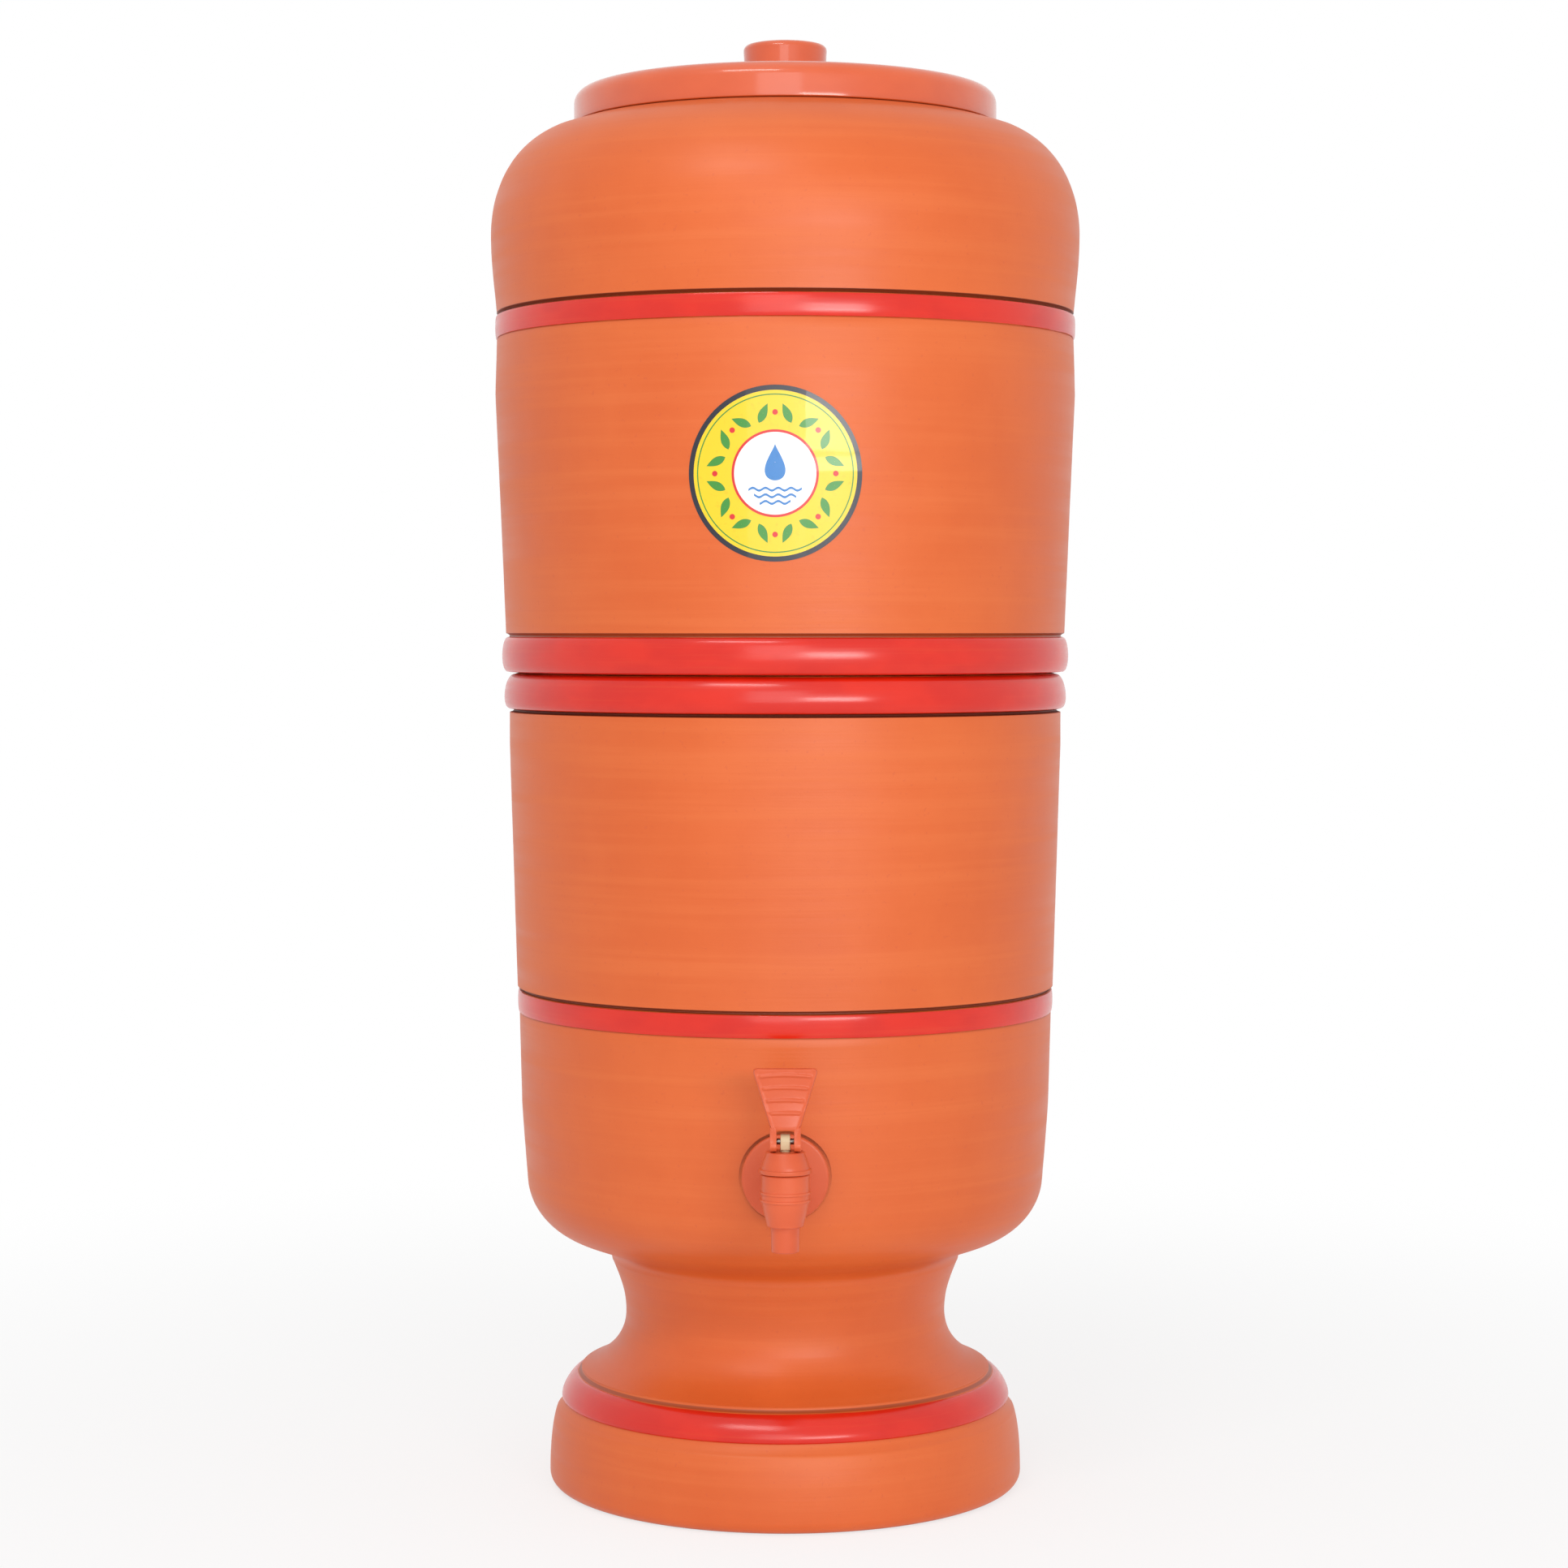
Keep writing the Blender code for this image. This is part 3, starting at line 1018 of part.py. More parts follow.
def paddle_faces(level):
    """Where the paddle's front and back are at a height above the pivot."""
    share = paddle_share(level)
    half = (PADDLE_NECK_THICKNESS + (PADDLE_TOP_THICKNESS - PADDLE_NECK_THICKNESS) * share) / 2
    bow = PADDLE_BOW * math.sin(math.pi * share)
    return bow - half, bow + half


def grip_outline(level):
    """A rounded bar across the paddle's front, in (y, z) from the pivot."""
    front = paddle_faces(level)[0]
    root = front + GRIP_HEIGHT
    half = GRIP_WIDTH / 2
    outline = [
        (front + y * GRIP_HEIGHT, level + z * half)
        for y, z in corner((0.0, 0.0), 1.0, 90, 270, 4)
    ]
    return outline + [(root, level - half), (root, level + half)]


def build_lever(lever, paint):
    paddle = add_object("tap_lever", paddle_mesh("tap_lever"), paint["tap"], lever)
    bevel = paddle.modifiers.new("edges", "BEVEL")
    bevel.width = PADDLE_EDGE
    bevel.segments = 1
    bevel.limit_method = "ANGLE"
    bevel.angle_limit = math.radians(50.0)
    cheek_half = (FORK_HALF_WIDTH - FORK_SLOT_HALF) / 2
    for side, label in ((-1, "left"), (1, "right")):
        middle = side * (FORK_HALF_WIDTH + FORK_SLOT_HALF) / 2
        cheek = extruded("fork_" + label, cheek_outline(), cheek_half, None, lever, shift=middle)
        join(paddle, cheek)
    for bar in range(GRIP_COUNT):
        level = PADDLE_HEIGHT - GRIP_TOP_DROP - bar * GRIP_PITCH
        half = paddle_half_width(level) - GRIP_SIDE_MARGIN
        join(paddle, extruded(f"grip_{bar + 1}", grip_outline(level), half, None, lever))
    hole = pin_circle((0.0, 0.0), PIN_RADIUS + SEAT_GAP)
    cut(paddle, extruded("lever_pin_hole", hole, FORK_HALF_WIDTH * 1.5, None, lever))

    pin = pin_circle((0.0, 0.0), PIN_RADIUS)
    extruded("tap_pivot_pin", pin, FORK_HALF_WIDTH, paint["steel"], lever)


def build():
    clear_scene()
    clay = make_material("terracotta", (236, 122, 82), 0.72)
    enamel = make_material("red_enamel", (221, 62, 50), 0.28)
    paint = {
        "ceramic": make_material("filter_ceramic", (236, 232, 222), 0.85),
        "carbon": make_material("activated_carbon", (38, 37, 38), 0.95),
        "white": make_material("white_plastic", (228, 228, 224), 0.45),
        "float": make_material("float_plastic", (205, 214, 222), 0.40),
        "rubber": make_material("grey_rubber", (120, 122, 122), 0.80),
        "tap": make_material("tap_plastic", (232, 118, 84), 0.38),
        "stem": make_material("stem_plastic", (226, 210, 178), 0.45),
        "steel": make_material("spring_steel", (178, 180, 184), 0.30, 1.0),
        "lid": make_material("lid_plastic", (222, 104, 66), 0.30),
    }
    axis = empty("filter_axis", None, (0.0, AXIS_SHIFT, 0.0))
    float_axis = empty("float_axis", axis, (0.0, 0.0, 0.0))
    tap = empty("tap_axis", axis, (0.0, -TAP_REACH, TAP_HEIGHT))
    stem = empty("stem_axis", tap, (0.0, 0.0, 0.0))
    lever = empty("lever_axis", stem, (0.0, 0.0, PIVOT_LEVEL))

    build_clay(axis, clay, enamel)
    turned("lid", lid_outline(), paint["lid"], axis, VESSEL_FACETS, (0.0, 0.0, LID_LOW))
    build_candle(axis, paint)
    build_float_valve(axis, float_axis, paint)
    build_tap_mount(axis, paint)
    build_tap_body(tap, paint)
    build_bonnet(tap, paint)
    build_stem(stem, paint)
    build_lever(lever, paint)


build()
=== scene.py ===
import json
import math

import bmesh
import bpy
from mathutils import Matrix, Vector, noise


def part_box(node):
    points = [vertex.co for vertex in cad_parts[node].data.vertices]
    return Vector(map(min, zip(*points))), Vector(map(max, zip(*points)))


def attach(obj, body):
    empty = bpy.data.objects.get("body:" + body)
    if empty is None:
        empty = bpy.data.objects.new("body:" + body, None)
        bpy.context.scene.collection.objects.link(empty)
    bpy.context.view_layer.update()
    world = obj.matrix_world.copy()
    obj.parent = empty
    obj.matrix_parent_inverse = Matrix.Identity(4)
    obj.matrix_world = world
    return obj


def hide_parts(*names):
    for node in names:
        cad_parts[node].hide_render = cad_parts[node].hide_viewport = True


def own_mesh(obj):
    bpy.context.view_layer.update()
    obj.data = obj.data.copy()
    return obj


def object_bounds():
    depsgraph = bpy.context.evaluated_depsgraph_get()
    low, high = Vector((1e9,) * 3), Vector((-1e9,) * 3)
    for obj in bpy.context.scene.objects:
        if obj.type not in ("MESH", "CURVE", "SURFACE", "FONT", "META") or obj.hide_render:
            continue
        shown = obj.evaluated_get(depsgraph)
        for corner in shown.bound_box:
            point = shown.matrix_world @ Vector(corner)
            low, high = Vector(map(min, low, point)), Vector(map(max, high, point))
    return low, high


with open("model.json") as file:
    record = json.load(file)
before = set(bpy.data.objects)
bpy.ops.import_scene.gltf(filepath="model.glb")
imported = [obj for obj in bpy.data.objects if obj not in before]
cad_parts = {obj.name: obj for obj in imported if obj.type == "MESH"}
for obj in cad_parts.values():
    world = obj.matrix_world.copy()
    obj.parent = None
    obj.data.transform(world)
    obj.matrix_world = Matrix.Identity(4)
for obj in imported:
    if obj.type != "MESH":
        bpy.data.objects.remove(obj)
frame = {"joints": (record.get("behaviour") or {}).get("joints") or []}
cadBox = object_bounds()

mm = 0.001
gap = 0.3                # the clearance between seated pieces, in millimetres


# Where things are. Sizes below are millimetres, heights are over the floor.

def boxOf(node):
    low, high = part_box(node)
    return Vector(low) / mm, Vector(high) / mm


def middleOf(node):
    low, high = boxOf(node)
    return (low + high) / 2


def heightsOf(node):
    low, high = boxOf(node)
    return low.z, high.z


def radiusOf(node):
    return boxOf(node)[1].x


axisY = middleOf("pedestal").y
tapY = middleOf("tap_bonnet").y
shankHeight = middleOf("tap_outer_washer").z
vesselAxis = (0, axisY, 0)
tapAxis = (0, tapY, 0)
shankAxis = (0, axisY, shankHeight)
pivot = (0, tapY, middleOf("tap_pivot_pin").z)


# Outlines: points of a turned profile, as (radius, height) or (radius, height, marks). Marks are
# weights: hand for the potter's unevenness, sway for a painted edge, thread, and one for painted
# shade, which darkens the clay in creases and grooves, along the foot's bottom edge and just under
# the lid, and which also marks the red paint's thinned edges.

def arc(centre, radius, start, end, steps):
    angles = [math.radians(start + (end - start) * step / steps) for step in range(steps + 1)]
    return [(centre[0] + radius * math.cos(a), centre[1] + radius * math.sin(a)) for a in angles]


def circle(radius, steps, centre=(0, 0)):     # its first point doesn't come again at its end
    return arc(centre, radius, 0, 360 - 360 / steps, steps - 1)


def curve(start, startHandle, endHandle, end, steps):     # leaves out its own start
    corners = (start, startHandle, endHandle, end)
    points = []
    for step in range(1, steps + 1):
        t = step / steps
        weights = ((1 - t) ** 3, 3 * t * (1 - t) ** 2, 3 * t * t * (1 - t), t ** 3)
        points.append(tuple(sum(w * c[axis] for w, c in zip(weights, corners)) for axis in range(2)))
    return points


def straight(start, end, steps):                           # leaves out its own start
    return [
        tuple(start[axis] + (end[axis] - start[axis]) * step / steps for axis in range(2))
        for step in range(1, steps + 1)
    ]


def soften(corners, steps=4):     # corners are (radius, height, rounding); one step gives a chamfer
    points = []
    for index, (radius, height, rounding) in enumerate(corners):
        here = Vector((radius, height))
        if not rounding:
            points.append((radius, height))
            continue
        before = Vector(corners[index - 1][:2]) - here
        after = Vector(corners[(index + 1) % len(corners)][:2]) - here
        reach = rounding / math.tan(before.angle(after) / 2)
        reach = min(reach, before.length * 0.49, after.length * 0.49)
        start = here + before.normalized() * reach
        end = here + after.normalized() * reach
        for step in range(steps + 1):
            t = step / steps
            points.append(tuple(start * (1 - t) ** 2 + here * 2 * t * (1 - t) + end * t * t))
    return points


def bead(low, high, bulge, fullness, steps):               # both ends included
    points = []
    for step in range(steps + 1):
        turn = math.pi * step / steps
        share = (1 - math.cos(turn)) / 2
        radius = low[0] + (high[0] - low[0]) * share + bulge * max(0.0, math.sin(turn)) ** fullness
        points.append((radius, low[1] + (high[1] - low[1]) * share))
    return points


def groove(low, high, depth, steps=6):                     # leaves out its own start
    points = []
    for step in range(1, steps + 1):
        share = step / steps
        radius = low[0] + (high[0] - low[0]) * share - depth * math.sin(math.pi * share)
        points.append((radius, low[1] + (high[1] - low[1]) * share))
    return points


def ringOutline(inside, outside, low, high, innerEdge, outerEdge):
    return soften([
        (inside, low, innerEdge), (outside, low, outerEdge),
        (outside, high, outerEdge), (inside, high, innerEdge),
    ])


def mark(points, **marks):
    return [(point[0], point[1], marks) for point in points]


def threaded(radius, low, high, thread):                   # close enough points to cut a thread in
    count = int((high - low) / thread["pitch"] * thread["steps"])
    return mark([(radius, low + (high - low) * step / count) for step in range(count)], thread=1)


# What the potter's hand adds

clayTouch = {
    "sag": 0.16, "sagAround": 1.1, "sagUp": 0.011, "rings": 0.05, "ringAround": 0.3, "ringUp": 0.16,
    "fingerDepth": 0.6, "fingerPitch": 7.5, "fingerStep": 1.5, "fingerDrift": 0.3, "driftUp": 9,
    "brushSway": 0.22, "brushAround": 3.1, "brushFine": 11.0,
}


def handMade(angle, height):     # how far the potter's wall strays from a true circle
    c = clayTouch
    side = Vector((math.cos(angle), math.sin(angle), 0)) * c["sagAround"]
    sag = noise.noise(side + Vector((0, 0, height * c["sagUp"])))
    rings = noise.noise(side * c["ringAround"] + Vector((0, 0, height * c["ringUp"])))
    return c["sag"] * sag + c["rings"] * rings


def fingered(points):            # an inner wall with the rings that the potter's fingers leave
    c = clayTouch
    wall = points[:1]
    for start, end in zip(points, points[1:]):
        steps = max(1, round(math.dist(start, end) / c["fingerStep"]))
        for radius, height in straight(start, end, steps):
            turns = height / c["fingerPitch"] + c["fingerDrift"] * math.sin(height / c["driftUp"])
            press = c["fingerDepth"] * (0.5 - 0.5 * math.cos(math.tau * turns))
            wall.append((radius + press, height))
    return wall


def edgeSway(angle, height):     # how far a brush line wanders
    c = clayTouch
    side = Vector((math.cos(angle), math.sin(angle), 0))
    slow = noise.noise(side * c["brushAround"] + Vector((0, 0, height)))
    quick = noise.noise(side * c["brushFine"] + Vector((0, 0, height)))
    return c["brushSway"] * (slow + quick / 2)


# Meshes

vesselSteps = 176                # how many sides the turned pieces have
fittingSteps = 64
smallSteps = 40
sharpAngle = math.radians(38)    # a steeper edge isn't shaded smooth


def newMesh(name, shape):
    bmesh.ops.remove_doubles(shape, verts=shape.verts, dist=1e-8)
    bmesh.ops.recalc_face_normals(shape, faces=shape.faces)
    mesh = bpy.data.meshes.new(name)
    shape.to_mesh(mesh)
    shape.free()
    return mesh


def addObject(name, data):
    thing = bpy.data.objects.new(name, data)
    bpy.context.scene.collection.objects.link(thing)
    return thing


def smooth(mesh):
    mesh.shade_smooth()
    mesh.set_sharp_from_angle(angle=sharpAngle)


def place(name, mesh, where):     # where is in millimetres
    piece = addObject(name, mesh)
    piece.location = Vector(where) * mm
    smooth(mesh)
    return piece


def turnMesh(name, outline, steps, thread):
    shape = bmesh.new()
    shadeAndPaintEdgeLayer = shape.verts.layers.float.new("grime")
    rows = []
    for point in outline:
        radius, height = point[:2]
        marks = point[2] if len(point) > 2 else {}
        row = []
        for step in range(steps if radius > 0 else 1):
            angle = math.tau * step / steps
            wide, tall = radius, height
            if "hand" in marks:
                wide += marks["hand"] * handMade(angle, height)
            if "sway" in marks:
                tall += marks["sway"] * edgeSway(angle, height)
            if "thread" in marks:
                turns = height / thread["pitch"] - step / steps
                wide -= thread["depth"] * marks["thread"] * abs(2 * (turns % 1) - 1)
            vertex = shape.verts.new((
                wide * math.sin(angle) * mm, -wide * math.cos(angle) * mm, tall * mm
            ))
            # the point's painted-shade weight: the clay turns it into darkening, the red paint into a
            # thinned edge
            vertex[shadeAndPaintEdgeLayer] = marks.get("grime", 0.0)
            row.append(vertex)
        rows.append(row)
    pairs = list(zip(rows, rows[1:]))
    if len(rows[0]) > 1 or len(rows[-1]) > 1:
        pairs.append((rows[-1], rows[0]))
    for one, other in pairs:
        for step in range(steps):
            after = (step + 1) % steps
            corners = [one[step % len(one)], one[after % len(one)]]
            corners += [other[after % len(other)], other[step % len(other)]]
            corners = list(dict.fromkeys(corners))
            if len(corners) > 2:
                shape.faces.new(corners)
    return newMesh(name, shape)


def turned(name, outline, steps, where=vesselAxis, alongY=False, thread=None):
    mesh = turnMesh(name, outline, steps, thread)
    if alongY:                    # the outline's height then runs out of the front
        mesh.transform(Matrix.Rotation(math.radians(90), 4, "X"))
    return place(name, mesh, where)


def loftMesh(name, loops, closed=False):     # closed joins the last loop to the first
    shape = bmesh.new()
    rows = [[shape.verts.new(Vector(point) * mm) for point in loop] for loop in loops]
    pairs = list(zip(rows, rows[1:]))
    if closed:
        pairs.append((rows[-1], rows[0]))
    for one, other in pairs:
        for index in range(len(one)):
            after = (index + 1) % len(one)
            shape.faces.new((one[index], one[after], other[after], other[index]))
    if not closed:
        shape.faces.new(rows[0][::-1])
        shape.faces.new(rows[-1])
    return newMesh(name, shape)


def slab(name, outline, left, right, where, rounding=0.0):     # a (y, z) outline, wide in X
    loops = [[(x, y, z) for y, z in outline] for x in (left, right)]
    piece = place(name, loftMesh(name, loops), where)
    if rounding:
        edges = piece.modifiers.new("edges", "BEVEL")
        edges.width = rounding * mm
        edges.segments = 3
        edges.limit_method = "ANGLE"
        edges.angle_limit = math.radians(40)
        settle(piece)
    return piece


def settle(piece):                # the modifiers' result becomes the piece's own mesh
    graph = bpy.context.evaluated_depsgraph_get()
    graph.update()
    mesh = bpy.data.meshes.new_from_object(piece.evaluated_get(graph))
    piece.modifiers.clear()
    piece.data = mesh
    smooth(mesh)


def combine(piece, other, operation):
    change = piece.modifiers.new(operation.lower(), "BOOLEAN")
    change.operation = operation
    change.object = other
    change.solver = "EXACT"
    settle(piece)
    bpy.data.objects.remove(other, do_unlink=True)


def finish(piece, body, slot, *nodes, material=None):     # without a material, its slot's own
    piece.data.materials.clear()
    piece.data.materials.append(material or slotMaterials[slot])
    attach(piece, body)
    if nodes:
        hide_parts(*nodes)


# Materials

def sRgb(red, green, blue):     # a colour as a picture shows it
    values = [value / 255 for value in (red, green, blue)]
    return (*[v / 12.92 if v <= 0.04045 else ((v + 0.055) / 1.055) ** 2.4 for v in values], 1.0)


def feed(tree, value, socket):    # a value, or another node's output
    if isinstance(value, bpy.types.NodeSocket):
        tree.links.new(value, socket)
    elif value is not None:
        socket.default_value = value


def setUp(tree, node, values):    # capitalised names are sockets, the others are settings
    for name, value in values.items():
        if name[0].isupper():
            feed(tree, value, node.inputs[name.replace("_", " ")])
        else:
            setattr(node, name, value)


def addNode(tree, kind, *inputs, **values):
    node = tree.nodes.new("ShaderNode" + kind)
    setUp(tree, node, values)
    for socket, value in zip(node.inputs, inputs):
        feed(tree, value, socket)
    return node


class Look:                       # a material, built up from nodes
    def __init__(self, name, **sockets):
        self.material = bpy.data.materials.new(name)
        self.material.use_nodes = True
        self.tree = self.material.node_tree
        self.shader = self.tree.nodes["Principled BSDF"]
        self.set(**sockets)
        self.material.diffuse_color = self.shader.inputs["Base Color"].default_value

    def set(self, **sockets):
        setUp(self.tree, self.shader, sockets)
        return self.material

    def noise(self, scale, detail=3.0, roughness=0.55):     # scale is in 1/m, for each axis or all
        if not isinstance(scale, tuple):
            scale = (scale,) * 3
        spot = addNode(self.tree, "TexCoord").outputs["Object"]
        spot = addNode(self.tree, "Mapping", spot, Scale=scale).outputs["Vector"]
        texture = addNode(self.tree, "TexNoise", spot, Scale=1.0, Detail=detail, Roughness=roughness)
        return texture.outputs["Fac"]

    # the weight of painted shade that the outlines set: darker clay in creases, grooves and under the
    # lid, thinned paint at the red film's edges
    def grime(self):
        return addNode(self.tree, "Attribute", attribute_name="grime").outputs["Fac"]

    def spread(self, value, low, high, least=0.0, most=1.0):
        return addNode(
            self.tree, "MapRange", value, low, high, least, most, interpolation_type="SMOOTHSTEP"
        ).outputs["Result"]

    def blend(self, share, one, other):     # colours, or outputs that give colours
        mix = addNode(self.tree, "Mix", data_type="RGBA", Factor=share)
        feed(self.tree, one, mix.inputs[6])
        feed(self.tree, other, mix.inputs[7])
        return mix.outputs[2]

    def relief(self, *layers):              # layers are (height output, depth in metres)
        normal = None
        for height, depth in layers:
            bump = addNode(self.tree, "Bump", Height=height, Distance=depth, Normal=normal)
            normal = bump.outputs["Normal"]
        return normal


# the darkest colour here is painted shade, laid into creases and grooves, along the foot's bottom edge
# and under the lid
clayLook = {
    "colour": sRgb(220, 103, 45), "pale": sRgb(224, 112, 55), "deep": sRgb(213, 95, 38),
    "grime": sRgb(96, 30, 14), "grit": sRgb(202, 86, 48),
}


def makeClay(name, colours):
    look = Look(name, Specular_IOR_Level=0.45)
    streaks = look.noise((5, 5, 170), detail=4)
    fineStreaks = look.noise((16, 16, 900), detail=2)
    clouds = look.noise((13, 13, 11), detail=5, roughness=0.6)
    grain = look.noise(1500, detail=2)
    grit = look.noise(620, detail=1, roughness=0.3)
    colour = look.blend(look.spread(clouds, 0.30, 0.72), colours["deep"], colours["colour"])
    colour = look.blend(look.spread(streaks, 0.42, 0.74, 0.0, 0.45), colour, colours["pale"])
    colour = look.blend(look.spread(fineStreaks, 0.56, 0.82, 0.0, 0.3), colour, colours["deep"])
    colour = look.blend(look.spread(grit, 0.70, 0.78, 0.0, 0.3), colour, colours["grit"])
    return look.set(
        # painted shade: the clay darkens towards its shade colour by the weight that the outlines set
        Base_Color=look.blend(look.grime(), colour, colours["grime"]),
        Roughness=look.spread(streaks, 0.3, 0.8, 0.40, 0.50),
        Normal=look.relief((streaks, 0.00015), (fineStreaks, 0.00003), (grain, 0.00002)),
    )


enamelLook = {"colour": sRgb(219, 34, 6), "thin": sRgb(220, 70, 28), "deep": sRgb(209, 27, 5)}


def makeEnamel(name, colours):
    look = Look(name, Roughness=0.5, Specular_IOR_Level=0.1, Coat_Weight=0.85)
    brush = look.noise((14, 14, 700))
    pools = look.noise((30, 30, 60))
    colour = look.blend(look.spread(pools, 0.35, 0.65), colours["deep"], colours["colour"])
    colour = look.blend(look.spread(brush, 0.52, 0.80, 0.0, 0.22), colour, colours["thin"])
    return look.set(
        # at the film's edges, marked by the same weight that paints shade on the clay, the red thins to
        # a paler colour
        Base_Color=look.blend(look.grime(), colour, colours["thin"]),
        Coat_Roughness=look.spread(brush, 0.3, 0.7, 0.17, 0.24),
        Normal=look.relief((brush, 0.00004), (pools, 0.0005)),
    )


def makePlastic(name, colour, deep, roughness, coat=0.0):
    look = Look(name, Specular_IOR_Level=0.4, Coat_Weight=coat, Coat_Roughness=0.12)
    flow = look.noise((26, 26, 40))
    skin = look.noise(1100, detail=2)
    scuffs = look.noise((70, 260, 900), roughness=0.7)
    return look.set(
        Base_Color=look.blend(look.spread(flow, 0.3, 0.7), deep, colour),
        Roughness=look.spread(scuffs, 0.5, 0.8, roughness, roughness + 0.08),
        Normal=look.relief((flow, 0.00008), (skin, 0.000012)),
    )


def makeRubber(name, colour, deep):
    look = Look(name, Roughness=0.78, Specular_IOR_Level=0.35)
    bloom = look.noise(60, detail=4)
    skin = look.noise(800, detail=2)
    return look.set(
        Base_Color=look.blend(look.spread(bloom, 0.3, 0.75), deep, colour),
        Normal=look.relief((skin, 0.00004)),
    )


def makePorous(name, colour, deep, scale, depth):     # the candle's ceramic, and its carbon
    look = Look(name, Roughness=0.9, Specular_IOR_Level=0.25)
    patches = look.noise(22, detail=5)
    pores = look.noise(scale, detail=2)
    colour = look.blend(look.spread(patches, 0.35, 0.7), deep, colour)
    return look.set(
        Base_Color=look.blend(look.spread(pores, 0.60, 0.75, 0.0, 0.5), colour, deep),
        Normal=look.relief((pores, depth)),
    )


def makeSteel(name, colour):
    look = Look(name, Base_Color=colour, Metallic=1.0)
    drawn = look.noise((900, 900, 60))
    return look.set(
        Roughness=look.spread(drawn, 0.3, 0.7, 0.2, 0.38), Normal=look.relief((drawn, 0.00001))
    )


def makePrint(name, colour):
    look = Look(name, Roughness=0.32, Coat_Weight=0.25)
    dots = look.noise(500, detail=2)
    worn = tuple(channel * 0.82 for channel in colour[:3]) + (1.0,)
    return look.set(
        Base_Color=look.blend(look.spread(dots, 0.55, 0.8, 0.0, 0.6), colour, worn),
        Normal=look.relief((dots, 0.000008)),
    )


slotMaterials = {
    "terracotta": makeClay("terracotta", clayLook),
    "red_enamel": makeEnamel("red enamel", enamelLook),
    "lid_plastic": makePlastic("lid plastic", sRgb(220, 94, 42), sRgb(213, 87, 37), 0.4, coat=0.8),
    "tap_plastic": makePlastic("tap plastic", sRgb(219, 98, 58), sRgb(209, 87, 48), 0.34),
    "stem_plastic": makePlastic("stem plastic", sRgb(224, 204, 166), sRgb(206, 182, 140), 0.42),
    "white_plastic": makePlastic("white plastic", sRgb(226, 226, 221), sRgb(208, 209, 205), 0.4),
    "float_plastic": makePlastic("float plastic", sRgb(198, 209, 219), sRgb(176, 190, 204), 0.36),
    "grey_rubber": makeRubber("grey rubber", sRgb(122, 124, 124), sRgb(94, 96, 97)),
    "filter_ceramic": makePorous(
        "filter ceramic", sRgb(236, 231, 219), sRgb(214, 207, 192), 900, 0.00006
    ),
    "activated_carbon": makePorous("activated carbon", sRgb(44, 43, 44), sRgb(16, 16, 17), 520, 0.0005),
    "spring_steel": makeSteel("spring steel", sRgb(132, 128, 122)),
}
print("materials ready")


# Paint on the raised bands: a film just proud of the clay, with a brush-drawn edge

paint = {"proud": 0.1, "root": 0.25}


def paintFilm(name, band, body):
    outside = []
    inside = []
    last = len(band) - 1
    for index, (radius, height) in enumerate(band):
        before = Vector(band[max(index - 1, 0)])
        after = Vector(band[min(index + 1, last)])
        along = (after - before).normalized()
        edge = 1.0 if index in (0, last) else 0.0
        lift = paint["proud"] * (1 - edge)
        # the film's two edges carry that weight too, for thinned paint, not for shade
        marks = {"hand": 1.0, "sway": edge, "grime": edge}
        outside.append((radius + along.y * lift, height - along.x * lift, marks))
        inside.insert(0, (radius - paint["root"], height, {"hand": 1.0, "sway": edge}))
    finish(turned(name, outside + inside, vesselSteps), body, "red_enamel")


# The foot

foot = {
    "radius": 101.4, "topRadius": 99.0, "height": 31.5, "edge": 5.0, "ringWidth": 15.0,
    "ledgeWidth": 3.7, "ledgeHeight": 4.7, "beadHeight": 10.8, "beadTop": 89.5, "beadBulge": 2.5,
    "grooveWidth": 2.4, "grooveDepth": 0.7, "hollowStart": 87.8, "hollowHeight": 24.1,
    "hollowSweep": 0.36, "waist": 68.6, "neckHeight": 22.5, "neckTop": 74.3, "neckFlare": 0.40,
    "neckCurve": 0.38, "luting": 0.3, "wall": 9.5, "bevel": 1.5,
}


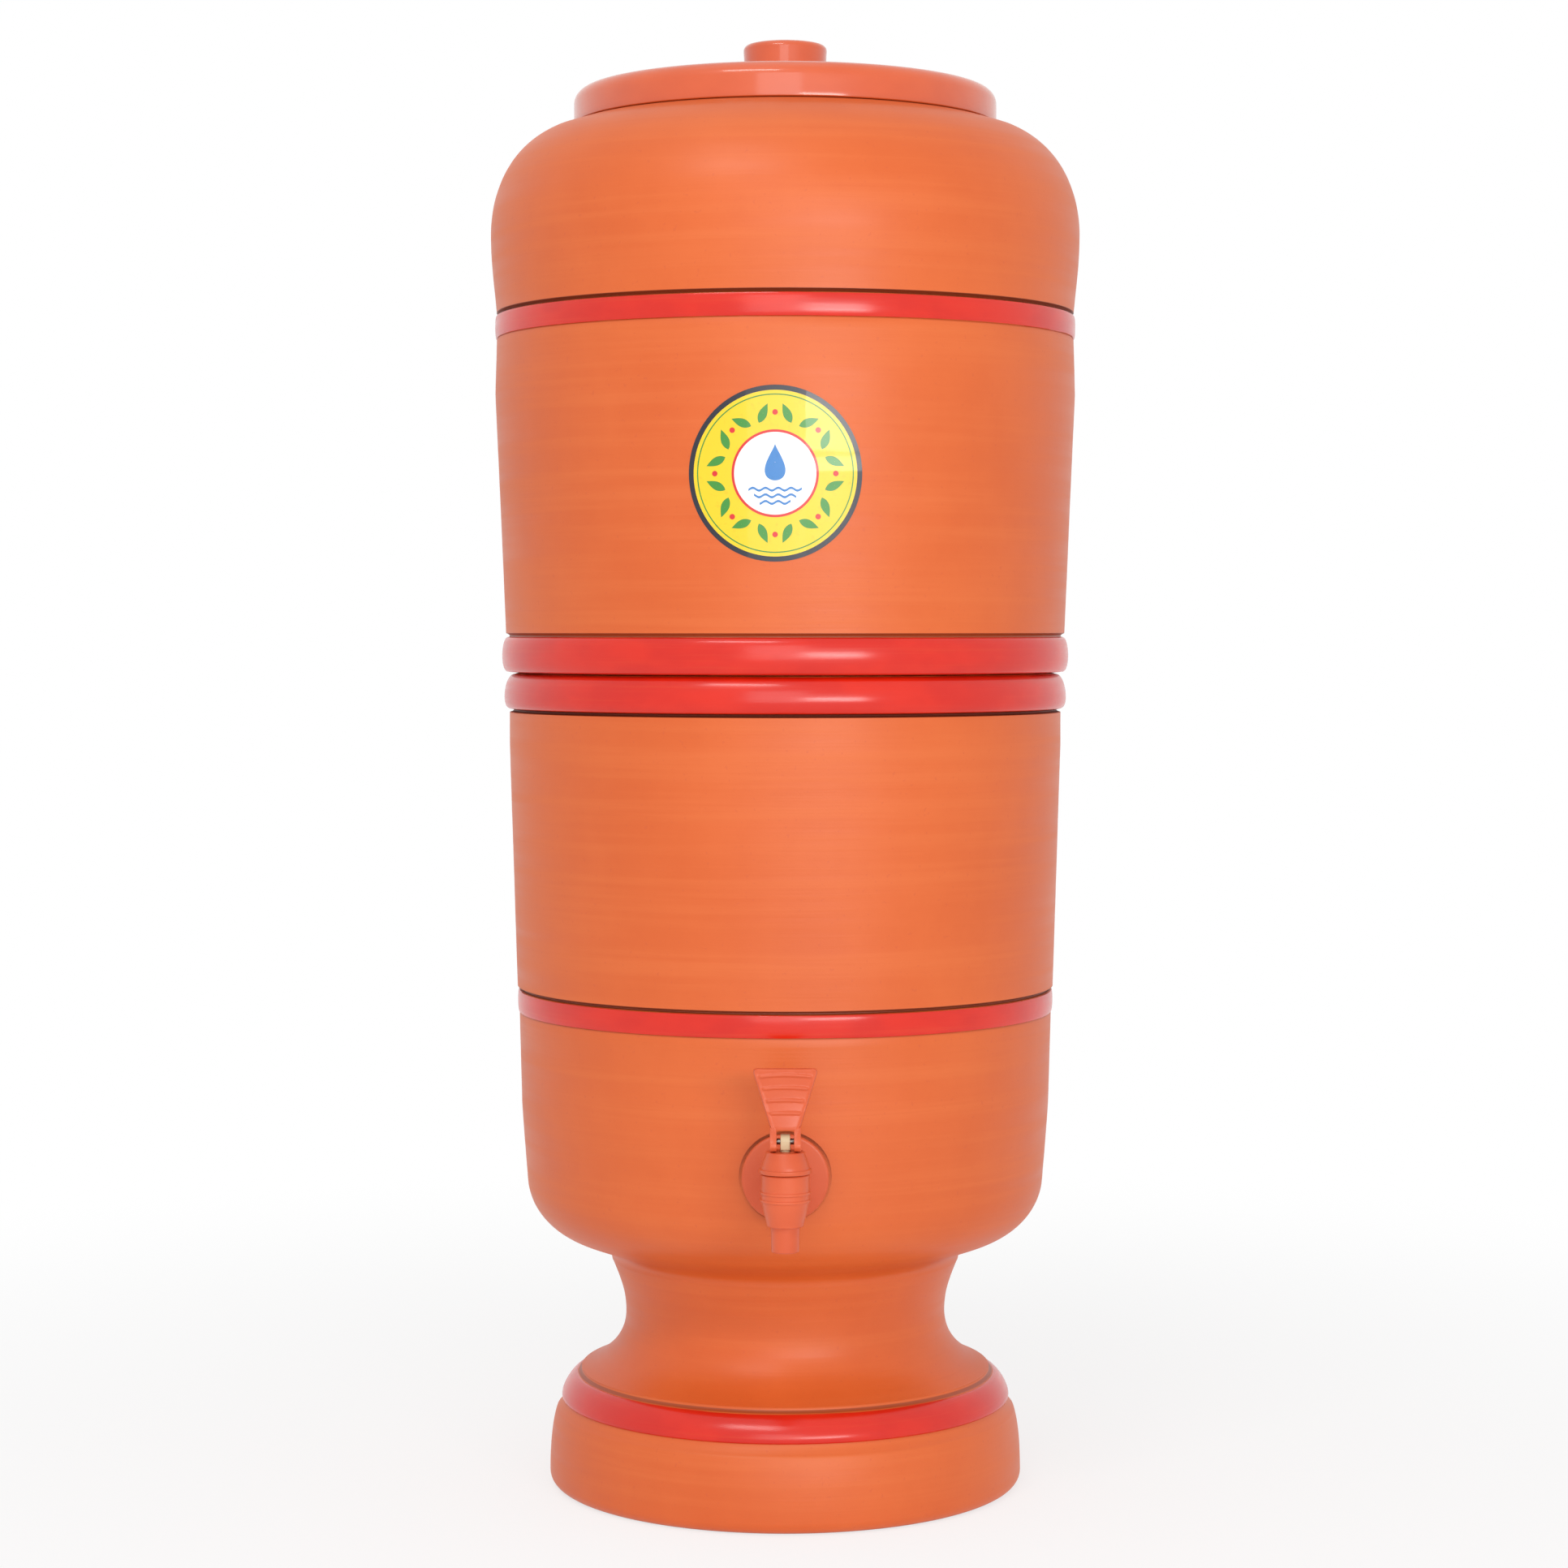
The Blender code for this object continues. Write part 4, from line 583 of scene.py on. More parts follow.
def makeFoot():
    f = foot
    beadLow = f["height"] + f["ledgeHeight"]
    beadTop = beadLow + f["beadHeight"]
    hollowLow = beadTop + f["grooveWidth"]
    waist = (f["waist"], hollowLow + f["hollowHeight"])
    top = waist[1] + f["neckHeight"]
    reach = f["neckHeight"] * f["neckCurve"]
    hollowHandle = f["waist"] + (f["hollowStart"] - f["waist"]) * f["hollowSweep"]
    waistHandle = (f["waist"], waist[1] + reach)
    topHandle = (f["neckTop"] - reach * f["neckFlare"], top - reach)

    side = arc((f["radius"] - f["edge"], f["edge"]), f["edge"], -90, 0, 10)
    side += curve(
        side[-1], (f["radius"], f["height"] * 0.7), (f["topRadius"] + 0.3, f["height"] * 0.93),
        (f["topRadius"] - 0.5, f["height"]), 12,
    )
    bandLow = (f["topRadius"] - f["ledgeWidth"], beadLow)
    band = bead(bandLow, (f["beadTop"], beadTop), f["beadBulge"], 1.0, 16)
    side += curve(
        side[-1], (side[-1][0] - 0.8, f["height"] + 0.8),
        (bandLow[0] + 0.7, f["height"] + f["ledgeHeight"] * 0.55), bandLow, 8,
    )
    crease = groove(band[-1], (f["hollowStart"], hollowLow), f["grooveDepth"])
    hollow = curve(
        crease[-1], (hollowHandle, hollowLow + f["hollowHeight"] * 0.2),
        (f["waist"], waist[1] - f["hollowHeight"] * 0.45), waist, 20,
    )
    hollow += curve(waist, waistHandle, topHandle, (f["neckTop"], top), 16)
    hollow += [(f["neckTop"] + 0.1, top + f["luting"])]
    # painted shade: a little along the foot's rounded bottom edge by the floor, more in the groove over
    # the band
    outline = mark(side[:1]) + mark(side[1:4], hand=0.5, grime=0.25) + mark(side[4:-1], hand=1)
    outline += mark(band, hand=1) + mark(crease[:-3], hand=1, grime=0.6)
    outline += mark(crease[-3:] + hollow, hand=1)

    wall = f["wall"]
    inside = f["radius"] - f["ringWidth"]
    inner = [(f["neckTop"] - wall, top + f["luting"]), (f["neckTop"] - wall, top)]
    inner += curve(
        inner[-1], (topHandle[0] - wall, topHandle[1]), (f["waist"] - wall, waistHandle[1]),
        (f["waist"] - wall, waist[1]), 10,
    )
    inner += curve(
        inner[-1], (f["waist"] - wall, hollowLow + f["hollowHeight"] * 0.3),
        (inside, hollowLow), (inside, f["height"] / 2), 14,
    )
    inner += straight(inner[-1], (inside, f["bevel"]), 4) + [(inside + f["bevel"], 0.0)]
    finish(turned("foot", outline + inner, vesselSteps), "base", "terracotta", "pedestal")
    paintFilm("foot_band", band, "base")


makeFoot()
print("foot made")


# The thin raised band that both chambers have, from its crease below to the wall above its groove

belt = {
    "height": 9.2, "bulge": 0.6, "fullness": 0.75, "crease": 0.35, "groove": 1.6,
    "grooveDepth": 1.4, "edge": 0.3,
}


def raisedBand(radius, low, wallRadius):
    b = belt
    top = low + b["height"]
    wallLow = (wallRadius, top + b["groove"])
    band = bead((radius, low), (radius, top), b["bulge"], b["fullness"], 12)
    # painted shade in the crease under the band, and darker in the groove over it
    outline = mark([(radius - b["crease"], low)], hand=1, grime=0.35) + mark(band, hand=1)
    outline += mark(groove(band[-1], wallLow, b["grooveDepth"]), hand=1, grime=0.8)
    outline += mark([(wallRadius, wallLow[1] + b["edge"])], hand=1)
    return outline, band, wallLow


# The lower chamber

lower = {
    "base": heightsOf("lower_reservoir")[0], "baseRadius": 74.5, "turnRadius": 92.0,
    "turnHeight": 10.6, "slope": 0.40, "bowlRadius": 110.6, "bowlHeight": 34.7,
    "shoulderRadius": 113.0, "shoulderHeight": 33.0, "bandRadius": 113.9, "wallHeight": 39.5,
    "wallRadius": 114.7, "upperWallHeight": 116.8, "rimRadius": 117.7, "beadHeight": 14.5,
    "beadBulge": 3.6, "jointRadius": 115.2, "lip": 0.4, "wall": 9.5, "floor": 11.7,
}


def makeLower():
    d = lower
    turn = (d["turnRadius"], d["base"] + d["turnHeight"])
    full = (d["bowlRadius"], d["base"] + d["bowlHeight"])
    shoulder = (d["shoulderRadius"], full[1] + d["shoulderHeight"])
    bandLow = shoulder[1] + d["wallHeight"]
    below = d["turnHeight"] * 0.65
    above = d["turnHeight"] * 0.90
    bowl = [(d["baseRadius"], d["base"])]
    bowl += curve(
        bowl[0], (d["baseRadius"], d["base"] + d["turnHeight"] * 0.5),
        (turn[0] - below, turn[1] - below * d["slope"]), turn, 14,
    )
    bowl += curve(
        turn, (turn[0] + above, turn[1] + above * d["slope"]),
        (d["bowlRadius"] - d["wall"] * 0.1, full[1] - d["bowlHeight"] * 0.34), full, 22,
    )
    bowl += curve(
        full, (full[0] + 0.9, full[1] + 12), (shoulder[0] - 0.7, shoulder[1] - 12), shoulder, 10
    )
    bowl += straight(shoulder, (d["bandRadius"], bandLow - 0.9), 12)
    ledge, band, wallLow = raisedBand(d["bandRadius"], bandLow, d["wallRadius"])
    outline = [(0, d["base"]), (d["baseRadius"] - 3, d["base"])] + mark(bowl, hand=1) + ledge

    beadGroove = wallLow[1] + d["upperWallHeight"]
    beadLow = (d["rimRadius"] - belt["grooveDepth"] / 2, beadGroove + belt["groove"])
    beadTop = (d["jointRadius"], beadLow[1] + d["beadHeight"])
    rim = beadTop[1] + d["lip"]
    wallTop = (d["rimRadius"], beadGroove - d["upperWallHeight"] * 0.12)
    side = straight(wallLow, wallTop, 26) + straight(wallTop, (d["rimRadius"], beadGroove), 4)
    crease = groove(side[-1], beadLow, belt["grooveDepth"])
    joint = bead(beadLow, beadTop, d["beadBulge"], belt["fullness"], 18)
    joint += [(d["jointRadius"] - 0.2, rim - 0.1)]
    # painted shade, nearly full, in the groove under the joint bead
    outline += mark(side, hand=1) + mark(crease, hand=1, grime=0.95) + mark(joint[1:], hand=1)
    outline += [(d["jointRadius"] - 0.8, rim)]

    floor = d["base"] + d["floor"]
    inside = d["rimRadius"] - d["wall"]
    inner = arc((inside + 1.0, rim - 1.0), 1.0, 90, 180, 5)
    inner += straight(inner[-1], (inside, wallTop[1]), 3)
    wiped = len(inner) - 1              # the rim's inside is wiped smooth
    inner += straight(inner[-1], (d["bandRadius"] - d["wall"], bandLow), 8)
    inner += straight(inner[-1], (d["shoulderRadius"] - d["wall"], shoulder[1]), 4)
    inner += straight(
        inner[-1], (d["bowlRadius"] - d["wall"], full[1] + d["shoulderHeight"] * 0.1), 4
    )
    inner += curve(
        inner[-1], (d["bowlRadius"] - d["wall"], full[1] - d["bowlHeight"] * 0.42),
        (d["baseRadius"] * 1.04, floor), (d["baseRadius"] * 0.8, floor), 16,
    )
    outline += inner[:wiped] + mark(fingered(inner[wiped:]), hand=1) + [(0, floor)]
    shell = turned("lower_chamber", outline, vesselSteps)
    combine(shell, tapHole(), "DIFFERENCE")
    finish(shell, "base", "terracotta", "lower_reservoir")
    paintFilm("lower_band", band, "base")
    paintFilm("lower_joint_bead", joint, "base")


tapSeat = {"washer": 16.5, "flange": 17.5, "shank": 8.0, "clearance": 1.0, "reach": 18}


def shankSpan(node):              # a piece's two ends on the shank, measured out of the front
    low, high = boxOf(node)
    return axisY - high.y, axisY - low.y


def tapHole():                    # a hole with a flat face for the washer on each side of the wall
    parts = ("washer", "flange", "shank")
    washer, flange, shank = (tapSeat[part] + tapSeat["clearance"] for part in parts)
    outside = shankSpan("tap_outer_washer")[0] - gap
    inside = shankSpan("tap_inner_washer")[1] + gap
    inner, outer = inside - tapSeat["reach"], outside + tapSeat["reach"]
    steps = [
        (0, inner), (washer, inner), (washer, inside), (shank, inside),
        (shank, outside), (flange, outside), (flange, outer), (0, outer),
    ]
    return turned("tap_hole", steps, fittingSteps, shankAxis, alongY=True)


makeLower()
print("lower chamber made")


# The upper chamber

upper = {
    "floorLow": heightsOf("upper_reservoir")[0], "top": heightsOf("upper_reservoir")[1],
    "spigotDepth": 8.8, "spigotRadius": 107.2, "stemHole": 7.0, "floor": 11.0,
    "jointRadius": 115.2, "lip": 0.4, "lipRadius": 118.1, "beadHeight": 14.7, "beadBulge": 2.8,
    "baseRadius": 119.2, "wallRadius": 123.3, "wallHeight": 101.0, "bandRadius": 122.6,
    "wallTopHeight": 23.6, "widest": 125.0, "shoulderRise": 33.4, "shoulderHeight": 42.2,
    "shoulderTop": 101.2, "shoulderSlope": 0.47, "rimRadius": 90.4, "mouthRadius": 80.0,
    # the rim's darkening under the lid, last in this list, is painted shadow
    "wall": 9.5, "lidShadow": 0.5,
}


def upperHeights():               # of the seat, the bead's top and the foot of the wall
    seat = upper["floorLow"] + upper["spigotDepth"]
    beadTop = seat + upper["lip"] + upper["beadHeight"]
    return seat, beadTop, beadTop + belt["groove"]


def makeUpper():
    u = upper
    seat, beadTop, wallLow = upperHeights()
    spigot = u["spigotRadius"]
    outline = [
        (u["stemHole"], u["floorLow"]), (spigot - 12, u["floorLow"]), (spigot - 1, u["floorLow"]),
        (spigot, u["floorLow"] + 1), (spigot, seat), (u["jointRadius"] - 0.8, seat),
    ]
    joint = [(u["jointRadius"] + 0.1, seat + 0.1)]
    joint += bead(
        (u["lipRadius"], seat + u["lip"]), (u["baseRadius"] - belt["grooveDepth"], beadTop),
        u["beadBulge"], belt["fullness"], 18,
    )
    crease = groove(joint[-1], (u["baseRadius"], wallLow), belt["grooveDepth"] * 0.5)
    # painted shade in the groove over the joint bead
    outline += mark(joint, hand=1) + mark(crease, hand=1, grime=0.6)
    wallMid = (u["wallRadius"], wallLow + u["wallHeight"])
    bandLow = wallMid[1] + u["wallTopHeight"]
    side = [(u["baseRadius"], wallLow + belt["edge"])]
    side += straight((u["baseRadius"], wallLow), wallMid, 22)
    side += straight(wallMid, (u["bandRadius"], bandLow - 0.9), 6)
    ledge, band, above = raisedBand(u["bandRadius"], bandLow, u["bandRadius"])
    outline += mark(side, hand=1) + ledge

    widest = (u["widest"], above[1] + u["shoulderRise"])
    shoulderTop = (u["shoulderTop"], widest[1] + u["shoulderHeight"])
    reach = u["shoulderHeight"] * 0.45
    shoulder = curve(
        above, (above[0] + 1.0, above[1] + 12), (widest[0], widest[1] - 14), widest, 14
    )
    shoulder += curve(
        widest, (widest[0], widest[1] + u["shoulderHeight"] * 0.29),
        (shoulderTop[0] + reach, shoulderTop[1] - reach * u["shoulderSlope"]), shoulderTop, 30,
    )
    shoulder += straight(shoulderTop, (u["rimRadius"], u["top"] - 0.2), 6)
    outline += mark(shoulder[:-1], hand=1)
    # painted shadow of the lid: the rim's outer slope and edge, just under the lid's skirt, are
    # darkened
    outline += mark(shoulder[-1:], hand=1, grime=u["lidShadow"])
    outline += mark([(u["rimRadius"] - 0.8, u["top"])], grime=u["lidShadow"])

    wall = u["wall"]
    mouth = u["mouthRadius"]
    floorTop = u["floorLow"] + u["floor"]
    outline += [(mouth + 4, u["top"])] + arc((mouth + 1, u["top"] - 1), 1, 90, 180, 5)
    outline += [(mouth, u["top"] - wall)]
    inner = curve(
        outline[-1], (u["shoulderTop"], shoulderTop[1] - wall * 1.3),
        (u["widest"] - wall, widest[1] + u["shoulderHeight"] * 0.55),
        (u["widest"] - wall, widest[1]), 16,
    )
    inner += straight(inner[-1], (u["wallRadius"] - wall, wallMid[1]), 6)
    inner += straight(inner[-1], (u["baseRadius"] - wall, floorTop + wall), 8)
    inner += curve(
        inner[-1], (u["baseRadius"] - wall, floorTop + 2), (u["baseRadius"] - wall - 2, floorTop),
        (u["baseRadius"] - wall * 2, floorTop), 8,
    )
    outline += mark(fingered(inner), hand=1) + [(u["stemHole"], floorTop)]
    finish(turned("upper_chamber", outline, vesselSteps), "upper", "terracotta", "upper_reservoir")
    paintFilm("upper_band", band, "upper")
    paintFilm("upper_joint_bead", joint, "upper")


makeUpper()
print("upper chamber made")


# The lid

lid = {
    "radius": 89.7, "skirt": 14.7, "edge": 5.8, "dome": 4.0, "wall": 2.2, "lip": 0.6,
    "ringDepth": 8.0, "ringRadius": 79.0, "knobRadius": 17.7, "knobEdge": 2.4, "knobFillet": 2.0,
    "knobDish": 0.5, "knobCap": 0.5,
}


def makeLid():
    d = lid
    ringLow, high = heightsOf("lid")
    low = ringLow + d["ringDepth"]
    skirtTop = low + d["skirt"]
    domeTop = skirtTop + d["dome"]
    knob = d["knobRadius"]
    fillet = d["knobFillet"]
    lip = d["lip"]
    bend = (d["radius"] - d["edge"], skirtTop - d["edge"])
    outline = [(0, high - d["knobDish"]), (knob * 0.45, high - d["knobDish"] * 0.7)]
    outline += [(knob * 0.72, high - 0.05)]
    outline += arc((knob - d["knobEdge"], high - d["knobEdge"]), d["knobEdge"], 90, 0, 10)
    outline += [(knob - 0.3, (high + domeTop) / 2)]
    outline += arc((knob + fillet, domeTop + fillet), fillet, 180, 270, 8)
    outline += curve(
        outline[-1], (d["radius"] * 0.5, domeTop), (d["radius"] * 0.75, skirtTop + d["dome"] * 0.2),
        (bend[0], skirtTop), 18,
    )
    outline += arc(bend, d["edge"], 90, 0, 12)[1:]
    outline += straight(outline[-1], (d["radius"], low + lip), 4)
    outline += arc((d["radius"] - lip, low + lip), lip, 0, -90, 4)[1:]
    outline += [(d["radius"] - d["wall"] + 0.2, low), (d["radius"] - d["wall"], low + 0.2)]
    outline += arc(bend, d["edge"] - d["wall"], 0, 90, 6)

    ceiling = skirtTop - d["wall"]
    knobCeiling = high - d["wall"] - d["knobCap"]
    ring = d["ringRadius"]
    outline += soften([
        (ring, ceiling, 0.5), (ring, ringLow, 0.6), (ring - d["wall"], ringLow, 0.6),
        (ring - d["wall"], ceiling, 0.5), (knob - d["wall"], domeTop - d["wall"], 0.8),
        (knob - d["wall"], knobCeiling, 1.0), (0, knobCeiling, 0),
    ])
    finish(turned("cover", outline, vesselSteps), "cover", "lid_plastic", "lid")


makeLid()
print("lid made")


# The tap

tap = {
    "barrel": 9.5, "rise": 6.8, "drop": 13.8, "footRadius": 7.3, "rings": 2, "ring": 0.5,
    "ringWidth": 1.2, "ringDrop": 0.5, "ringPitch": 3.0, "nozzle": 5.7, "nozzleLength": 10.1,
    "nozzleBore": 3.6, "nozzleMouth": 4.2, "chamber": 7.5, "chamberFoot": 6.0,
    "chamberStep": 5.0, "seat": 9.8, "neck": 6.6, "neckFillet": 1.6, "flange": 17.5,
    "flangeEdge": 1.2, "flangeThickness": 3.0, "shank": 8.0, "shankBore": 4.2, "threadStart": 1.5,
}
tapThread = {"pitch": 2.0, "depth": 0.9, "steps": 8}
tapCentre = (0, tapY, shankHeight)


def barrelOutline(end):
    t = tap
    foot = -t["drop"]
    outline = [(0, t["rise"]), (t["barrel"] - 0.4, t["rise"]), (t["barrel"], t["rise"] - 0.4)]
    for ring in range(t["rings"]):
        middle = -t["ringDrop"] - ring * t["ringPitch"]
        outline += [
            (t["barrel"] + t["ring"] * math.sin(turn), middle + t["ringWidth"] / 2 * math.cos(turn))
            for turn in (math.pi * step / 8 for step in range(9))
        ]
    outline += [(t["barrel"] - t["ring"], -t["ringDrop"] - t["ringPitch"] - 2 * t["ringWidth"])]
    outline += curve(
        outline[-1], (t["barrel"] - t["ring"] * 2, -t["drop"] * 0.65),
        (t["footRadius"], -t["drop"] * 0.85), (t["footRadius"], foot + 0.4), 12,
    )
    outline += [(t["footRadius"] - 0.4, foot), (t["nozzle"] + 0.3, foot), (t["nozzle"], foot - 0.3)]
    return outline + [(t["nozzle"] - 0.25, end + 0.4), (t["nozzle"] - 0.65, end), (0, end)]


def shankOutline(end):            # from the shank's end, through the flange and neck, to the barrel
    t = tap
    flangeBack = tapY - boxOf("tap_outer_washer")[0].y + gap
    flangeFront = flangeBack + t["flangeThickness"]
    threadEnd = flangeBack - t["threadStart"]
    outline = [(0, end), (t["shank"] - 1.0, end)]
    outline += threaded(t["shank"], end + 1.0, threadEnd, tapThread) + [(t["shank"], threadEnd + 0.5)]
    return outline + soften([
        (t["shank"], flangeBack, 0), (t["flange"], flangeBack, 0.4),
        (t["flange"], flangeFront, t["flangeEdge"]), (t["neck"], flangeFront, t["neckFillet"]),
        (t["neck"], 0, 0), (0, 0, 0),
    ], 6)


def makeTapBody():
    t = tap
    nozzleEnd = -t["drop"] - t["nozzleLength"]
    shankEnd = tapY - boxOf("tap_body")[1].y
    body = turned("tap_barrel", barrelOutline(nozzleEnd), fittingSteps, tapCentre)
    shank = turned("shank", shankOutline(shankEnd), fittingSteps, tapCentre, True, tapThread)
    combine(body, shank, "UNION")
    chamber = [
        (0, t["rise"] + 9), (t["chamber"], t["rise"] + 9), (t["chamber"], -t["chamberStep"]),
        (t["chamberFoot"], -t["chamberStep"] - 1.5), (t["chamberFoot"], -t["seat"]),
        (t["nozzleBore"], -t["seat"]), (t["nozzleBore"], nozzleEnd + 0.3),
        (t["nozzleMouth"], nozzleEnd - 0.3), (t["nozzleMouth"], nozzleEnd - 5), (0, nozzleEnd - 5),
    ]
    combine(body, turned("chamber", chamber, fittingSteps, tapCentre), "DIFFERENCE")
    bore = [(0, shankEnd - 4), (t["shankBore"], shankEnd - 4), (t["shankBore"], 0), (0, 0)]
    combine(body, turned("bore", bore, smallSteps, tapCentre, alongY=True), "DIFFERENCE")
    finish(body, "base", "tap_plastic", "tap_body")


bonnet = {
    "radius": 10.25, "top": 7.4, "edge": 0.8, "rim": 1.8, "plate": 2.6, "plug": 7.05,
    "plugWall": 1.6, "stemHole": 2.35,
}


def makeBonnet():
    b = bonnet
    low, high = heightsOf("tap_bonnet")
    rimLow = shankHeight + tap["rise"] + gap
    rimTop = rimLow + b["rim"]
    inside = b["plug"] - b["plugWall"]
    ceiling = high - b["plate"]
    outline = soften([
        (b["stemHole"], high, 0.3), (b["top"], high, b["edge"]),
        (b["radius"] - 0.8, rimTop + 1.0, 0.3), (b["radius"] - 0.7, rimTop, 0.2),
        (b["radius"], rimTop - 0.1, 0.45), (b["radius"], rimLow, 0.45), (b["plug"], rimLow, 0),
        (b["plug"], low, 0.3), (inside, low, 0.3), (inside, ceiling, 0.4),
        (b["stemHole"], ceiling, 0),
    ])
    finish(turned("tap_cap", outline, fittingSteps, tapAxis), "base", "tap_plastic", "tap_bonnet")


def makeTapWashers():
    for node in ("tap_outer_washer", "tap_inner_washer"):
        back, front = shankSpan(node)
        outline = ringOutline(tap["shank"] + gap, tapSeat["washer"], back, front, 0.2, 0.7)
        washer = turned(node + "_ring", outline, fittingSteps, shankAxis, alongY=True)
        finish(washer, "base", "grey_rubber", node)


shankNut = {"corner": 13.8, "chamfer": 1.0, "chamferIn": 0.2, "faces": 6, "steps": 72}


def makeShankNut():
    n = shankNut
    back, front = shankSpan("tap_shank_nut")
    face = math.tau / n["faces"]
    flat = n["corner"] * math.cos(face / 2)
    loops = []
    for kind, depth in (
        ("hole", back), ("chamfer", back), ("hexagon", back + n["chamfer"]),
        ("hexagon", front - n["chamfer"]), ("chamfer", front), ("hole", front),
    ):
        loop = []
        for step in range(n["steps"]):
            angle = math.tau * step / n["steps"]
            radius = {
                "hole": tap["shank"] + gap, "chamfer": flat - n["chamferIn"],
                "hexagon": flat / math.cos(angle % face - face / 2),
            }[kind]
            loop.append((radius * math.cos(angle), -depth, radius * math.sin(angle)))
        loops.append(loop)
    nut = place("tap_nut", loftMesh("tap_nut", loops, closed=True), shankAxis)
    finish(nut, "base", "tap_plastic", "tap_shank_nut")


makeTapBody()
makeBonnet()
makeTapWashers()
makeShankNut()
print("tap body made")


# The tap's stem, its seal and its spring

stem = {
    "radius": 2.0, "foot": 3.0, "footHeight": 1.6, "collar": 5.2, "collarLow": 6.0,
    "collarHeight": 1.5, "eye": 3.0, "eyeWidth": 3.8, "pinHole": 1.55,
}
seatCup = {"radius": 5.4, "floor": 1.8, "lip": 0.5}
spring = {"radius": 4.2, "wire": 0.45, "turns": 7, "stepsPerTurn": 28, "sides": 10, "travel": 3.0}


def makeStem():
    s = stem
    low = heightsOf("tap_stem")[0]
    footTop = low + s["footHeight"]
    collar = shankHeight - tap["seat"] + s["collarLow"]
    collarTop = collar + s["collarHeight"]
    outline = soften([
        (0, low, 0), (s["foot"], low, 0.3), (s["foot"], footTop, 0.2), (s["radius"], footTop, 0),
        (s["radius"], collar, 0), (s["collar"], collar, 0.2), (s["collar"], collarTop, 0.2),
        (s["radius"], collarTop, 0), (s["radius"], pivot[2], 0), (0, pivot[2], 0),
    ], 1)
    rod = turned("stem_rod", outline, smallSteps, tapAxis)
    eye = [(s["eye"], -s["eye"]), (-s["eye"], -s["eye"])] + arc((0, 0), s["eye"], 180, 0, 24)
    half = s["eyeWidth"] / 2
    combine(rod, slab("eye", eye, -half, half, pivot, rounding=0.3), "UNION")
    combine(rod, slab("pin_hole", circle(s["pinHole"], 36), -4, 4, pivot), "DIFFERENCE")
    finish(rod, "stem", "stem_plastic", "tap_stem")


def makeSeatCup():
    c = seatCup
    low, high = heightsOf("tap_seat_cup")
    pocket = stem["foot"] + gap
    outline = [
        (0, low), (c["radius"] - 0.8, low), (c["radius"], low + 0.5), (c["radius"], high - c["lip"]),
        (c["radius"] - c["lip"], high), (pocket + 0.3, high), (pocket, high - 0.3),
        (pocket, low + c["floor"]), (0, low + c["floor"]),
    ]
    finish(turned("seat_cup", outline, smallSteps, tapAxis), "stem", "grey_rubber", "tap_seat_cup")


def makeSpring():
    s = spring
    low, high = heightsOf("tap_spring")
    rise = high - low - 2 * s["wire"]
    slope = math.atan2(rise, math.tau * s["radius"] * s["turns"])
    steps = s["turns"] * s["stepsPerTurn"]
    loops = []
    for step in range(steps + 1):
        angle = math.tau * s["turns"] * step / steps
        height = low + s["wire"] + rise * step / steps
        loop = []
        for side in range(s["sides"]):
            turn = math.tau * side / s["sides"]
            radial = s["radius"] + s["wire"] * math.cos(turn)
            tangent = -s["wire"] * math.sin(turn) * math.sin(slope)
            loop.append((
                radial * math.cos(angle) - tangent * math.sin(angle),
                radial * math.sin(angle) + tangent * math.cos(angle),
                height + s["wire"] * math.sin(turn) * math.cos(slope),
            ))
        loops.append(loop)
    coil = place("spring_coil", loftMesh("spring_coil", loops), tapAxis)
    finish(coil, "base", "spring_steel", "tap_spring")
    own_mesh(coil)


makeStem()
makeSeatCup()
makeSpring()
print("tap stem made")


# The lever: a flared thumb paddle with raised rims and curved grip bars, over a fork

lever = {
    "neckHeight": 6.0, "top": 28.6, "crotch": 4.9, "forkHalf": 6.0, "slotHalf": 3.4,
    "neckHalf": 6.2, "topHalf": 13.1, "neckThick": 5.2, "topThick": 2.6, "bow": 1.0, "crown": 0.7,
    "rim": 0.55, "rimWidth": 1.7, "rimFullness": 1.6, "edge": 0.7, "cornerRound": 2.2,
    "grips": 4, "gripPitch": 4.9, "gripDrop": 2.5, "gripHeight": 0.6, "gripWidth": 1.7,
    "gripSag": -1.2, "gripInset": 1.5, "gripEnd": 0.8, "rows": 84, "across": 40,
    "back": 3.6, "heelLift": 3.0, "heelSteps": 24,
}


def paddleWidth(height):
    d = lever
    share = max(0.0, (height - d["neckHeight"]) / (d["top"] - d["neckHeight"]))
    half = d["forkHalf"]
    if height >= d["neckHeight"]:
        half = d["neckHalf"] + (d["topHalf"] - d["neckHalf"]) * share
    fromTop = d["top"] - height
    if fromTop < d["cornerRound"]:      # the two top corners are rounded
        half -= d["cornerRound"]
        half += math.sqrt(d["cornerRound"] ** 2 - (d["cornerRound"] - fromTop) ** 2)
    return half, share


def paddleFront(x, height, half):     # how far the front stands out of its plain face
    d = lever
    rim = max(0.0, 1 - (half - abs(x)) / d["rimWidth"])
    stand = d["rim"] * min(1.0, rim * d["rimFullness"])
    room = half - d["gripInset"] - abs(x)
    for bar in range(d["grips"]):
        level = d["top"] - d["gripDrop"] - bar * d["gripPitch"]
        level += d["gripSag"] * (x / d["topHalf"]) ** 2
        offset = abs(height - level) / (d["gripWidth"] / 2)
        if offset < 1 and room > 0:
            ends = min(1.0, room / d["gripEnd"])
            stand = max(stand, d["gripHeight"] * math.cos(offset * math.pi / 2) * ends)
    return stand


